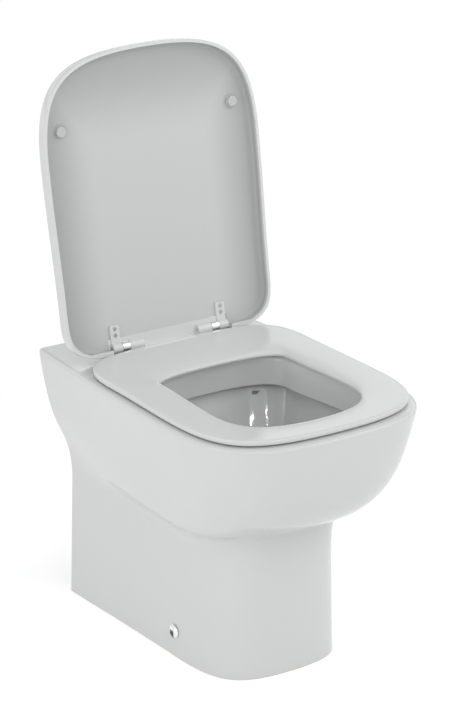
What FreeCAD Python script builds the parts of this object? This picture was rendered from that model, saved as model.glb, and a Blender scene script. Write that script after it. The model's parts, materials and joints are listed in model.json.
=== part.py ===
"""Floor-standing toilet whose pan stands back against the wall.

Millimetres. The pan's drawing frame has x to the right, the wall at y = 0 and
the front at negative y. Every piece's Placement then moves it by half the
depth, so that the finished part stands on its own middle at z = 0.
"""
import FreeCAD
import Part
import Sketcher

import math
import os
from collections import namedtuple

from FreeCAD import Placement, Rotation, Vector

# Driving sizes in millimetres, and angles in degrees

SIZES = {
    "pan_width": 363.0,
    "pan_depth": 530.0,
    "pan_height": 400.0,
    "pan_rear_width": 330.0,
    "rim_front_length": 166.0,
    "foot_width": 225.2,
    "foot_rear_width": 237.8,
    "foot_depth": 410.0,
    "foot_wide_place": 281.0,
    "waist_height": 222.0,
    "rim_edge_height": 10.0,
    "rim_edge_width": 9.0,
    "skirt_wall": 12.0,
    "deck_thickness": 14.0,
    "opening_rear": 193.0,
    "opening_front_margin": 54.0,
    "opening_rear_margin": 55.0,
    "opening_side_margin": 58.5,
    "opening_rear_place": 240.0,
    "opening_front_length": 104.0,
    "rim_band_height": 45.0,
    "rim_band_wall": 10.0,
    "channel_width": 13.0,
    "channel_height": 30.0,
    "bowl_wall": 11.0,
    "sump_height": 71.0,
    "sump_rear": 292.0,
    "sump_front": 382.0,
    "sump_width": 84.0,
    "trap_bore": 76.0,
    "trap_wall": 10.0,
    "trap_bend": 50.0,
    "trap_low_height": 109.0,
    "trap_crest_height": 225.0,
    "trap_start": 350.0,
    "trap_low_place": 262.0,
    "trap_crest_front": 194.0,
    "trap_crest_rear": 145.0,
    "trap_drop_place": 92.0,
    "outlet_height": 180.0,
    "outlet_gap": 15.0,
    "spigot_diameter": 102.0,
    "spigot_length": 60.0,
    "inlet_drop": 60.0,
    "inlet_bore": 55.0,
    "inlet_wall": 11.0,
    "inlet_gap": 48.0,
    "inlet_depth": 50.0,
    "inlet_passage_bore": 24.0,
    "inlet_passage_drop": 32.0,
    "flush_pipe_bore": 44.0,
    "inlet_seal_lip": 4.0,
    "inlet_seal_lip_width": 63.0,
    "inlet_seal_depth": 30.0,
    "flush_slot_length": 12.0,
    "flush_slot_height": 5.0,
    "flush_slot_place": 88.0,
    "flush_slot_drop": 63.0,
    "side_fixing_place": 273.0,
    "side_fixing_height": 38.0,
    "side_hole_bore": 14.0,
    "side_screw_width": 8.0,
    "side_screw_length": 34.0,
    "side_screw_head_width": 13.0,
    "side_screw_head_height": 3.2,
    "side_socket_width": 5.0,
    "cap_width": 21.0,
    "cap_height": 5.2,
    "cap_wall": 1.2,
    "cap_edge_height": 1.6,
    "bracket_length": 44.0,
    "bracket_reach": 50.0,
    "bracket_height": 58.0,
    "bracket_thickness": 6.0,
    "bracket_rib": 4.0,
    "bracket_hole_bore": 9.0,
    "bracket_hole_spacing": 136.0,
    "hinge_place": 95.0,
    "hinge_rise": 14.0,
    "hinge_spacing": 155.0,
    "hinge_barrel": 15.0,
    "hinge_pin_width": 6.0,
    "hinge_stud_place": 77.0,
    "post_width": 12.0,
    "post_base_width": 26.0,
    "post_base_length": 30.0,
    "post_base_thickness": 3.0,
    "gasket_thickness": 1.0,
    "stud_width": 8.0,
    "stud_length": 63.0,
    "stud_insertion": 6.0,
    "deck_hole_bore": 12.0,
    "cone_top_width": 30.0,
    "cone_bottom_width": 20.0,
    "cone_height": 10.0,
    "nut_hub_width": 17.0,
    "nut_height": 10.0,
    "nut_wing_span": 40.0,
    "nut_wing_thickness": 3.0,
    "nut_wing_height": 16.0,
    "seat_knuckle_width": 24.0,
    "lid_knuckle_width": 16.0,
    "knuckle_gap": 0.5,
    "seat_arm_length": 52.0,
    "seat_arm_thickness": 5.0,
    "lid_arm_length": 34.0,
    "lid_arm_thickness": 3.0,
    "damper_width": 11.0,
    "damper_length": 12.0,
    "arm_screw_width": 4.0,
    "arm_screw_head_width": 7.5,
    "arm_screw_head_height": 2.0,
    "seat_screw_length": 9.0,
    "lid_screw_length": 6.2,
    "seat_screw_rear": 24.0,
    "seat_screw_front": 42.0,
    "lid_screw_rear": 19.0,
    "lid_screw_front": 28.5,
    "seat_side_margin": 7.0,
    "seat_rear_taper": 4.0,
    "seat_rear": 103.0,
    "seat_front_margin": 13.0,
    "seat_rear_place": 205.0,
    "seat_front_length": 153.0,
    "seat_lift": 2.5,
    "seat_rear_thickness": 10.0,
    "seat_front_thickness": 6.5,
    "seat_opening_rear": 211.0,
    "seat_front_band": 52.0,
    "seat_rear_side_band": 64.5,
    "seat_side_band": 62.5,
    "seat_opening_rear_place": 240.0,
    "seat_opening_front_length": 85.0,
    "seat_edge": 1.2,
    "bumper_length": 34.0,
    "bumper_width": 17.0,
    "bumper_stem_width": 7.0,
    "bumper_stem_height": 4.0,
    "bumper_front_setback": 92.0,
    "bumper_rear_setback": 147.0,
    "bumper_inset": 33.5,
    "lid_side_overhang": 1.0,
    "lid_rear_taper": 4.0,
    "lid_front_overhang": 10.0,
    "lid_rear_place": 55.0,
    "lid_front_length": 154.0,
    "lid_open_angle": 99.6,
    "lid_depth": 18.0,
    "lid_drop": 11.0,
    "lid_plate": 4.5,
    "lid_wall": 5.0,
    "lid_edge": 1.5,
    "lid_crown_width": 9.0,
    "lid_heel_radius": 12.8,
    "lid_notch_width": 206.0,
    "lid_notch_depth": 14.0,
    "lid_bumper_width": 17.0,
    "lid_bumper_inset": 36.0,
    "lid_bumper_setback": 107.0,
    "lid_bumper_stem_width": 6.0,
    "lid_bumper_stem_height": 2.5,
    "seat_clearance": 0.3,
    "part_clearance": 0.3,
    "running_clearance": 0.05,
    "cut_overrun": 2.0,
    "rear_overrun": 40.0,
}

# Rows of the pan's outer skin below the waist: shares of the waist's height at
# the wall, side and front, then shares of the foot's rear width, width and depth

FOOT_SHARES = (
    ((0.000, 0.000, 0.000), (1.000, 1.000, 1.000)),
    ((0.315, 0.315, 0.315), (0.982, 0.970, 1.004)),
    ((0.655, 0.655, 0.655), (0.968, 0.940, 1.005)),
    ((0.888, 0.900, 0.955), (0.944, 0.938, 1.005)),
)

# Rows above the waist: shares of the way from the waist up to the rim, then
# shares of the way out from the foot's size to the rim's size

BODY_SHARES = (
    ((0.006, -0.035, 0.053), (-0.054, 0.215, 0.015)),
    ((0.135, 0.035, 0.054), (0.050, 0.325, 0.215)),
    ((0.368, 0.323, 0.158), (0.530, 0.510, 0.623)),
    ((0.635, 0.520, 0.480), (0.802, 0.685, 0.930)),
)

# How far the skirt's inner face rises with its wall at each row of the skin

SKIRT_RISE_SHARES = (0.0, 0.0, 0.0, 0.3, 0.8, 0.9, 0.8, 0.4)

# Rows of the bowl below the rim: share of the way down to the sump's floor,
# then shares of the way in from the rim's channel to the sump's walls at the
# rear, the rear side, the front side and the front

BOWL_SHARES = (
    (0.00, 0.00, 0.00, 0.00, 0.00),
    (0.11, 0.12, 0.12, 0.12, 0.07),
    (0.24, 0.29, 0.27, 0.26, 0.26),
    (0.40, 0.50, 0.46, 0.47, 0.74),
    (0.56, 0.74, 0.68, 0.68, 0.95),
    (0.75, 0.92, 0.88, 0.88, 0.99),
    (0.90, 1.00, 0.99, 0.99, 1.00),
    (1.00, 1.10, 1.15, 1.15, 1.08),
)

# Rows of the seat's top: share of the way in from the outer edge to the
# opening, and share of the height from the underside to the top

SEAT_SHARES = (
    (0.000, 0.14),
    (0.000, 0.80),
    (0.010, 1.00),
    (0.120, 1.06),
    (0.420, 0.98),
    (0.750, 0.86),
    (0.930, 0.68),
    (1.000, 0.40),
)

# Rows of the lid's outer skin and of its hollow: share of the crown's width
# inwards, and share of the depth from the rim edge to the outside face

LID_SKIN_SHARES = (
    (0.00, 0.08),
    (0.00, 0.62),
    (0.02, 0.88),
    (0.30, 1.00),
    (1.00, 1.00),
)
LID_HOLLOW_SHARES = (
    (0.00, 0.50),
    (0.04, 0.85),
    (0.40, 1.00),
    (1.10, 1.00),
)

# Where the two inner poles of a flank's curve lie along it, how squarely the
# corners of the outlines turn, and how early the shell's flank leaves the wall

FLANK_SHARES = (0.35, 0.65)
SHELL_CORNER_SHARE = 0.80
OPENING_CORNER_SHARE = 0.70
SEAT_CORNER_SHARE = 0.79
SEAT_HEEL_SHARE = 0.87
LID_CORNER_SHARE = 0.784
SHELL_SLANT_SHARE = 0.5

# Heights of the rim's upright edge below its top, how far along the seat its
# fall to the front is reached, and where the rows of the rim's throat lie

RIM_EDGE_SHARES = (1.0, 0.5, 0.0)
SEAT_FALL_SHARE = 0.6
THROAT_SHARES = ((0.0, 2.0), (0.0, 1.0), (0.17, 0.33))

# Corners of a hinge post's web: distance ahead in barrels, then shares of the
# foot, of the rise to the axis and of the barrel that add up to its height

POST_WEB_SHARES = (
    (1.10, 0.50, 0.0, 0.00),
    (2.85, 0.50, 0.0, 0.00),
    (2.85, 1.30, 0.0, 0.00),
    (1.38, 0.00, 1.0, 0.38),
    (0.56, 0.00, 1.0, -0.20),
)

# Where the cone washer's edge turns upright, where the wings meet the nut's
# hub, and how deep a side screw's socket leaves its head

CONE_EDGE_SHARE = 0.7
WING_TOP_SHARE = 0.8
SOCKET_FLOOR_SHARE = 0.25

Outline = namedtuple("Outline", "rear rear_half rear_side front_half front_side front heel corner")

document = FreeCAD.newDocument("Toilet")
sheet = document.addObject("Spreadsheet::Sheet", "Sizes")
for line, (alias, amount) in enumerate(SIZES.items(), start=1):
    sheet.set(f"A{line}", alias)
    sheet.set(f"B{line}", str(amount))
    sheet.setAlias(f"B{line}", alias)
document.recompute()

nodes = []


def size(alias):
    """A driving size as the spreadsheet holds it"""
    return float(sheet.get(alias))


def blend(start, end, share):
    return start + (end - start) * share


def inset(outline, amount):
    """The outline with every wall moved inwards"""
    return outline._replace(
        rear=outline.rear + amount,
        rear_half=outline.rear_half - amount,
        front_half=outline.front_half - amount,
        front=outline.front - amount,
    )


def between(outer, inner, share):
    """The outline a share of the way from the outer to the inner one"""
    return Outline(*(blend(a, b, share) for a, b in zip(outer, inner)))


# Smooth skins through rows of poles


def loop(outline, rear_height, side_height=None, front_height=None, slant=0.0):
    """Poles of six curves that run once round an outline of distances from the wall"""
    side_height = rear_height if side_height is None else side_height
    front_height = rear_height if front_height is None else front_height
    rear_half, front_half = outline.rear_half, outline.front_half
    rear_side, front_side = outline.rear_side, outline.front_side
    first, second = FLANK_SHARES
    half = [
        (0, outline.rear, rear_height),
        (rear_half * outline.heel, outline.rear, rear_height),
        (rear_half, blend(rear_side, outline.rear, outline.heel), rear_height),
        (rear_half, rear_side, rear_height),
        (blend(rear_half, front_half, slant), blend(rear_side, front_side, first), rear_height),
        (front_half, blend(rear_side, front_side, second), side_height),
        (front_half, front_side, side_height),
        (front_half, blend(front_side, outline.front, outline.corner), side_height),
        (front_half * outline.corner, outline.front, front_height),
        (0, outline.front, front_height),
    ]
    right = [Vector(x, -y, z) for x, y, z in half]
    left = [Vector(-x, -y, z) for x, y, z in reversed(half[:-1])]
    return right + left


def skin(rows):
    """Six smooth faces whose poles are the rows"""
    spans = len(rows) - 3
    knots = [float(knot) for knot in range(spans + 1)]
    counts = [4] + [1] * (spans - 1) + [4]
    faces = []
    for first in range(0, len(rows[0]) - 1, 3):
        poles = [[row[first + step] for row in rows] for step in range(4)]
        surface = Part.BSplineSurface()
        surface.buildFromPolesMultsKnots(poles, [4, 4], counts, [0.0, 1.0], knots, False, False, 3, 3)
        faces.append(surface.toShape())
    return faces


def ring_wire(row):
    """The closed wire of one row of poles"""
    edges = []
    for first in range(0, len(row) - 1, 3):
        curve = Part.BezierCurve()
        curve.setPoles(row[first:first + 4])
        edges.append(curve.toShape())
    return Part.Wire(edges)


def solid_of(faces):
    shell = Part.Shell(faces)
    shell.sewShape()
    solid = Part.Solid(shell)
    if solid.Volume < 0:
        solid.reverse()
    return solid


def capped(rows):
    """The solid inside a skin whose end rows are flat"""
    caps = [Part.Face(ring_wire(rows[0])), Part.Face(ring_wire(rows[-1]))]
    return solid_of(skin(rows) + caps)


def prism(outline, low, high):
    """An upright wall round an outline"""
    return Part.Face(ring_wire(loop(outline, low))).extrude(Vector(0, 0, high - low))


# Simple solids in the drawing frame


def box(x_range, y_range, z_range):
    low = Vector(x_range[0], y_range[0], z_range[0])
    spans = [high - start for start, high in (x_range, y_range, z_range)]
    return Part.makeBox(*spans, low)


def rod(diameter, start, end):
    """A round bar between two points"""
    along = end - start
    return Part.makeCylinder(diameter / 2, along.Length, start, along)


def rounded_path(points, radius):
    """Straight runs joined by arcs of one radius that touch them"""
    edges = []
    start = points[0]
    for before, corner, after in zip(points, points[1:], points[2:]):
        back = (before - corner).normalize()
        ahead = (after - corner).normalize()
        half_turn = (math.pi - back.getAngle(ahead)) / 2
        reach = radius * math.tan(half_turn)
        enter = corner + back * reach
        leave = corner + ahead * reach
        toward = (back + ahead).normalize()
        middle = corner + toward * (radius / math.cos(half_turn) - radius)
        edges.append(Part.LineSegment(start, enter).toShape())
        edges.append(Part.Arc(enter, middle, leave).toShape())
        start = leave
    edges.append(Part.LineSegment(start, points[-1]).toShape())
    return Part.Wire(edges)


def tube(path, diameter):
    """A round bar that follows a path in the plane of symmetry"""
    run = path.Edges[0]
    start, along = run.valueAt(run.FirstParameter), run.tangentAt(run.FirstParameter)
    ring = Part.makeCircle(diameter / 2, start, along)
    return path.makePipe(Part.Face(Part.Wire(ring)))


# Keeping the pieces


def place(piece, along="0", up="0", across="0", turn=None):
    """Put a piece at its place, moved from the wall's frame to the part's own"""
    if turn is not None:
        piece.Placement = Placement(Vector(), turn)
    piece.setExpression("Placement.Base.x", across)
    piece.setExpression("Placement.Base.y", f"Sizes.pan_depth / 2 - ({along})")
    piece.setExpression("Placement.Base.z", up)


def keep(piece, label):
    piece.Label = label
    nodes.append(piece)
    return piece


def shaped(label, shape):
    """A piece with free-form walls, drawn in the wall's frame"""
    piece = document.addObject("Part::Feature", label)
    piece.Shape = shape
    place(piece)
    return keep(piece, label)


def turned(label, profile, along="0", up="0", across="0", turn=None):
    """A turned piece: its profile is a list of (radius, height) expressions"""
    body = document.addObject("PartDesign::Body", label)
    sketch = profile_sketch(body, "XZ_Plane", profile)
    revolution = body.newObject("PartDesign::Revolution", label + "_turning")
    revolution.Profile = sketch
    revolution.ReferenceAxis = (sketch, ["V_Axis"])
    revolution.Angle = 360.0
    place(body, along, up, across, turn)
    return body


def profile_sketch(body, role, corners):
    """A closed sketch whose corners are bound to expressions"""
    sketch = body.newObject("Sketcher::SketchObject", body.Name + "_profile")
    plane = next(item for item in body.Origin.OriginFeatures if item.Role == role)
    sketch.AttachmentSupport = [(plane, "")]
    sketch.MapMode = "FlatFace"
    count = len(corners)
    guesses = [
        Vector(math.cos(2 * math.pi * step / count) + 2, math.sin(2 * math.pi * step / count) + 2, 0)
        for step in range(count)
    ]
    for step in range(count):
        sketch.addGeometry(Part.LineSegment(guesses[step], guesses[(step + 1) % count]))
    for step in range(count):
        sketch.addConstraint(Sketcher.Constraint("Coincident", step, 2, (step + 1) % count, 1))
    for step, corner in enumerate(corners):
        for kind, axis, expression in zip(("DistanceX", "DistanceY"), (-2, -1), corner):
            if expression == "0":
                sketch.addConstraint(Sketcher.Constraint("PointOnObject", step, 1, axis))
                continue
            datum = sketch.addConstraint(Sketcher.Constraint(kind, -1, 1, step, 1, 1.0))
            sketch.setExpression(f"Constraints[{datum}]", expression)
    return sketch


def cylinder(name, radius, height):
    piece = document.addObject("Part::Cylinder", name)
    piece.setExpression("Radius", radius)
    piece.setExpression("Height", height)
    return piece


def block(name, length, width, height):
    piece = document.addObject("Part::Box", name)
    piece.setExpression("Length", length)
    piece.setExpression("Width", width)
    piece.setExpression("Height", height)
    return piece


def move(piece, across="0", along="0", up="0"):
    """Place one solid of a joined piece in that piece's own frame"""
    piece.setExpression("Placement.Base.x", across)
    piece.setExpression("Placement.Base.y", along)
    piece.setExpression("Placement.Base.z", up)
    return piece


def joined(name, pieces):
    whole = document.addObject("Part::MultiFuse", name)
    whole.Shapes = pieces
    return whole


def cut_away(name, base, tool):
    rest = document.addObject("Part::Cut", name)
    rest.Base = base
    rest.Tool = tool
    return rest


ACROSS = Rotation(Vector(0, 1, 0), 90)
SIDES = (("left", -1), ("right", 1))

# The ceramic pan


def pan_outlines():
    """Heights and outline of each row of the outer skin below the rim's edge"""
    waist, top = size("waist_height"), size("pan_height")
    foot_rear, foot_half = size("foot_rear_width") / 2, size("foot_width") / 2
    foot_front, foot_side = size("foot_depth"), size("foot_wide_place")
    rim = rim_outline()
    rows = []
    for heights, (rear, width, depth) in FOOT_SHARES:
        outline = rim._replace(
            rear_half=foot_rear * rear,
            front_half=foot_half * width,
            front_side=foot_side,
            front=foot_front * depth,
        )
        rows.append(([waist * share for share in heights], outline))
    for heights, (rear, width, depth) in BODY_SHARES:
        outline = rim._replace(
            rear_half=blend(foot_rear, rim.rear_half, rear),
            front_half=blend(foot_half, rim.front_half, width),
            front_side=blend(foot_side, rim.front_side, depth),
            front=blend(foot_front, rim.front, depth),
        )
        rows.append(([blend(waist, top, share) for share in heights], outline))
    return rows


def rim_outline():
    return Outline(
        rear=-size("rear_overrun"),
        rear_half=size("pan_rear_width") / 2,
        rear_side=0,
        front_half=size("pan_width") / 2,
        front_side=size("pan_depth") - size("rim_front_length"),
        front=size("pan_depth"),
        heel=SHELL_CORNER_SHARE,
        corner=SHELL_CORNER_SHARE,
    )


def in_front_of_wall(solid):
    width, height = size("pan_width"), size("pan_height")
    space = box((-width, width), (-2 * size("pan_depth"), 0), (-height, 2 * height))
    return solid.common(space)


def outer_skin():
    top = size("pan_height")
    rim = rim_outline()
    rows = [loop(outline, *heights, SHELL_SLANT_SHARE) for heights, outline in pan_outlines()]
    for down in RIM_EDGE_SHARES:
        rows.append(loop(rim, top - size("rim_edge_height") * down, slant=SHELL_SLANT_SHARE))
    rows.append(loop(inset(rim, size("rim_edge_width")), top, slant=SHELL_SLANT_SHARE))
    return in_front_of_wall(capped(rows))


def skirt_space():
    """The hollow behind the skirt, open at the floor and at the wall"""
    wall = size("skirt_wall")
    rows = []
    for (heights, outline), rise in zip(pan_outlines(), SKIRT_RISE_SHARES):
        raised = [height + wall * rise for height in heights]
        rows.append(loop(inset(outline, wall), *raised, SHELL_SLANT_SHARE))
    foot = pan_outlines()[0][1]
    rows.insert(0, loop(inset(foot, wall), -size("cut_overrun"), slant=SHELL_SLANT_SHARE))
    ceiling = size("pan_height") - size("deck_thickness")
    rows.append(loop(inset(rim_outline(), wall), ceiling, slant=SHELL_SLANT_SHARE))
    return capped(rows)


def opening_outline():
    """The rim's opening as seen from above"""
    front = size("pan_depth") - size("opening_front_margin")
    return Outline(
        rear=size("opening_rear"),
        rear_half=size("pan_rear_width") / 2 - size("opening_rear_margin"),
        rear_side=size("opening_rear_place"),
        front_half=size("pan_width") / 2 - size("opening_side_margin"),
        front_side=front - size("opening_front_length"),
        front=front,
        heel=OPENING_CORNER_SHARE,
        corner=OPENING_CORNER_SHARE,
    )


def channel_outline():
    return inset(opening_outline(), -size("rim_band_wall") - size("channel_width"))


def sump_outline():
    rear, front = size("sump_rear"), size("sump_front")
    half = size("sump_width") / 2
    return Outline(
        rear=rear,
        rear_half=half,
        rear_side=blend(rear, front, 1 / 3),
        front_half=half,
        front_side=blend(rear, front, 2 / 3),
        front=front,
        heel=OPENING_CORNER_SHARE,
        corner=OPENING_CORNER_SHARE,
    )


def bowl_rows(wall):
    """Rows of the bowl's inside, or of its outside a wall further out"""
    top = size("pan_height") - size("rim_band_height")
    rim, sump = inset(channel_outline(), -wall), inset(sump_outline(), -wall)
    rows = []
    for down, rear, rear_side, front_side, front in BOWL_SHARES:
        outline = between(rim, sump, down)._replace(
            rear=blend(rim.rear, sump.rear, rear),
            rear_half=blend(rim.rear_half, sump.rear_half, rear_side),
            front_half=blend(rim.front_half, sump.front_half, front_side),
            front=blend(rim.front, sump.front, front),
        )
        rows.append(loop(outline, blend(top, size("sump_height") - wall, down)))
    return rows


def bowl_block():
    """The bowl's ceramic before it is hollowed, grown into the shell at the rim"""
    top = size("pan_height")
    block = inset(channel_outline(), -2 * size("skirt_wall"))
    levels = (top, top - size("channel_height"), top - size("rim_band_height"))
    rows = [loop(block, level) for level in levels]
    return capped(rows + bowl_rows(size("bowl_wall"))[1:])


def rim_opening():
    """The throat of the rim, with its upper edge rounded"""
    top, low = size("pan_height"), size("pan_height") - size("rim_band_height")
    opening, edge = opening_outline(), size("rim_edge_width")
    rows = [loop(opening, low - size("cut_overrun")), loop(opening, low)]
    for outwards, down in THROAT_SHARES:
        rows.append(loop(inset(opening, -edge * outwards), top - edge * down))
    rows.append(loop(inset(opening, -edge), top + size("cut_overrun")))
    return capped(rows)


def rim_channel():
    low = size("pan_height") - size("rim_band_height")
    high = low + size("channel_height")
    start = low - size("cut_overrun")
    return prism(channel_outline(), start, high).cut(
        prism(inset(opening_outline(), -size("rim_band_wall")), start, high)
    )


def at(distance, height, across=0.0):
    """A point given by its distance from the wall"""
    return Vector(across, -distance, height)


def trap_path(end):
    low, crest, outlet = size("trap_low_height"), size("trap_crest_height"), size("outlet_height")
    points = [
        at(size("trap_start"), low),
        at(size("trap_low_place"), low),
        at(size("trap_crest_front"), crest),
        at(size("trap_crest_rear"), crest),
        at(size("trap_drop_place"), outlet),
        at(end, outlet),
    ]
    return rounded_path(points, size("trap_bend"))


def inlet_height():
    """Height of the flush inlet's middle above the floor"""
    return size("pan_height") - size("inlet_drop")


def inlet_parts():
    """The flush inlet's boss, and the bore and passage inside it"""
    mouth, height = size("inlet_gap"), inlet_height()
    bore = size("inlet_bore")
    floor = mouth + size("inlet_depth")
    channel = size("opening_rear") - size("rim_band_wall") - size("channel_width") / 2
    boss = rod(bore + 2 * size("inlet_wall"), at(mouth, height), at(channel_outline().rear, height))
    socket = rod(bore, at(mouth - size("cut_overrun"), height), at(floor, height))
    passage_bore = size("inlet_passage_bore")
    passage_start = at(floor - size("cut_overrun"), height + (bore - passage_bore) / 2)
    passage_end = at(channel, size("pan_height") - size("inlet_passage_drop"))
    passage = rod(passage_bore, passage_start, passage_end)
    return boss, socket, passage


def flush_slots():
    """The small outlets in the bowl's rear corners, under the rim"""
    length, height = size("flush_slot_length"), size("flush_slot_height")
    level = size("pan_height") - size("flush_slot_drop")
    rear = channel_outline().rear
    slots = []
    for label, side in SIDES:
        middle = side * size("flush_slot_place")
        across = (middle - length / 2, middle + length / 2)
        deep = (-rear - 2 * size("bowl_wall"), -rear + size("bowl_wall") / 2)
        slots.append(box(across, deep, (level - height / 2, level + height / 2)))
    return slots


def stud_holes():
    top = size("pan_height")
    holes = []
    for label, side in SIDES:
        across = side * size("hinge_spacing") / 2
        low = at(size("hinge_stud_place"), top - 2 * size("deck_thickness"), across)
        high = at(size("hinge_stud_place"), top + size("cut_overrun"), across)
        holes.append(rod(size("deck_hole_bore"), low, high))
    return holes


def side_line(start, end, side):
    """Points at the height of the side fixing"""
    distance, height = size("side_fixing_place"), size("side_fixing_height")
    return at(distance, height, side * start), at(distance, height, side * end)


def reach_outwards(solid, distance, height):
    """How far to the right a solid reaches at one point of its side"""
    ray = Part.makeLine(at(distance, height), at(distance, height, size("pan_width")))
    return solid.common(ray).BoundBox.XMax


pan_skin = outer_skin()
skirt_hollow = skirt_space()
side_face = reach_outwards(pan_skin, size("side_fixing_place"), size("side_fixing_height"))
skirt_face = reach_outwards(skirt_hollow, size("side_fixing_place"), size("side_fixing_height"))


def pan_shape():
    overrun, gap, outlet = size("cut_overrun"), size("outlet_gap"), size("outlet_height")
    bore = size("trap_bore")
    boss, socket, passage = inlet_parts()
    spigot = rod(size("spigot_diameter"), at(gap + size("spigot_length"), outlet), at(gap, outlet))
    trap = tube(trap_path(gap), bore + 2 * size("trap_wall"))
    space = skirt_hollow
    for casting in (bowl_block(), trap, spigot, boss):
        space = space.cut(casting)
    body = pan_skin.cut(space)
    water_way = tube(trap_path(gap - overrun), bore)
    cuts = [capped(bowl_rows(0)), rim_opening(), rim_channel(), water_way, socket, passage]
    cuts += flush_slots() + stud_holes()
    for label, side in SIDES:
        cuts.append(rod(size("side_hole_bore"), *side_line(skirt_face / 2, side_face + overrun, side)))
    for cut in cuts:
        body = body.cut(cut)
    return body


pan = shaped("pan", pan_shape())

# Flush inlet seal


def seal_shape():
    """A rubber sleeve that fills the inlet's mouth and grips the flush pipe"""
    mouth, height, lip = size("inlet_gap"), inlet_height(), size("inlet_seal_lip")
    outside = size("inlet_bore") - 2 * size("running_clearance")
    body = rod(outside, at(mouth + size("inlet_seal_depth"), height), at(mouth, height))
    flange = rod(size("inlet_seal_lip_width"), at(mouth, height), at(mouth - lip, height))
    inner = mouth + size("inlet_seal_depth") + size("cut_overrun")
    bore = rod(size("flush_pipe_bore"), at(inner, height), at(mouth - lip - size("cut_overrun"), height))
    return body.fuse(flange).cut(bore)


shaped("inlet_seal", seal_shape())

# Side fixings, whose places follow the skirt's faces


def sleeve_shape(side):
    tight = size("side_hole_bore") - 2 * size("running_clearance")
    sleeve = rod(tight, *side_line(skirt_face, side_face, side))
    loose = size("side_screw_width") + 2 * size("part_clearance")
    return sleeve.cut(rod(loose, *side_line(skirt_face / 2, 2 * side_face, side)))


def screw_shape(side):
    """A side screw: its shank reaches into the bracket, its head lies on the sleeve"""
    head_end = side_face + size("side_screw_head_height")
    shank = rod(size("side_screw_width"), *side_line(side_face - size("side_screw_length"), head_end, side))
    head = rod(size("side_screw_head_width"), *side_line(side_face, head_end, side))
    socket_floor = side_face + size("side_screw_head_height") * SOCKET_FLOOR_SHARE
    socket = rod(size("side_socket_width"), *side_line(socket_floor, head_end + size("cut_overrun"), side))
    return shank.fuse(head).cut(socket)


def cap_reach(radius):
    """How far out the skirt stands within a cap's footprint"""
    footprint = rod(2 * radius, *side_line(skirt_face, 2 * side_face, 1))
    return pan_skin.common(footprint).optimalBoundingBox().XMax


def dome(radius, height, base, side):
    """A shallow dome on the skirt, its flat side at a distance from the middle"""
    ball = (radius ** 2 + height ** 2) / (2 * height)
    centre = side_line(base + height - ball, base, side)[0]
    return Part.makeSphere(ball, centre).common(
        rod(2 * radius, *side_line(base, base + 2 * height, side))
    )


def cap_shape(side):
    wall, edge = size("cap_wall"), size("cap_edge_height")
    radius, height = size("cap_width") / 2, size("cap_height")
    base = cap_reach(radius) + size("running_clearance")
    skirt = rod(2 * radius, *side_line(base, base + edge, side))
    outside = dome(radius, height - edge, base + edge, side).fuse(skirt)
    inner = radius - wall
    recess = rod(2 * inner, *side_line(base - size("cut_overrun"), base + edge, side))
    return outside.cut(dome(inner, height - edge - wall, base + edge, side).fuse(recess))


def bracket_shape(side):
    """An angle bracket behind the skirt with a floor hole and two ribs"""
    middle, half = size("side_fixing_place"), size("bracket_length") / 2
    thick, rib = size("bracket_thickness"), size("bracket_rib")
    tall, reach = size("bracket_height"), size("bracket_reach")
    corner = min(
        reach_outwards(skirt_hollow, middle + half, level)
        for level in (size("cut_overrun"), tall)
    )
    face = corner - size("part_clearance")
    along = (-middle - half, -middle + half)
    upright = box((face - thick, face), along, (0, tall))
    base = box((face - reach, face), along, (0, thick))
    pieces = [upright, base]
    for start in (along[0], along[1] - rib):
        ramp = Part.Face(Part.makePolygon([
            Vector(face - reach + thick, start, thick),
            Vector(face - thick, start, thick),
            Vector(face - thick, start, tall - thick),
            Vector(face - reach + thick, start, thick),
        ]))
        pieces.append(ramp.extrude(Vector(0, rib, 0)))
    bracket = pieces[0].fuse(pieces[1:])
    hole_place = size("bracket_hole_spacing") / 2
    hole_start = at(middle, -size("cut_overrun"), hole_place)
    hole_end = at(middle, thick + size("cut_overrun"), hole_place)
    bracket = bracket.cut(rod(size("bracket_hole_bore"), hole_start, hole_end))
    thread = size("side_screw_width") + 2 * size("running_clearance")
    bracket = bracket.cut(rod(thread, *side_line(face - 2 * thick, side_face, 1)))
    if side < 0:
        bracket = bracket.mirror(Vector(), Vector(1, 0, 0))
    return bracket


for label, side in SIDES:
    shaped(f"floor_bracket_{label}", bracket_shape(side))
    shaped(f"fixing_sleeve_{label}", sleeve_shape(side))
    shaped(f"fixing_cap_{label}", cap_shape(side))
shaped("fixing_screws", Part.makeCompound([screw_shape(side) for label, side in SIDES]))

# Hinge posts on the deck, with what clamps them

POST_FOOT = "Sizes.pan_height + Sizes.gasket_thickness"
STUD_BORE = "Sizes.stud_width / 2 + Sizes.running_clearance"


def bored_block(name, length, width, height, bore, across, along, up):
    """A flat pad with a round hole through its middle"""
    pad = move(block(name + "_pad", length, width, height), f"-({length}) / 2", f"-({width}) / 2")
    hole = cylinder(name + "_hole", bore, f"{height} + 2 * Sizes.cut_overrun")
    move(hole, up="-Sizes.cut_overrun")
    whole = cut_away(name, pad, hole)
    place(whole, along, up, across)
    return whole


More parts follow.
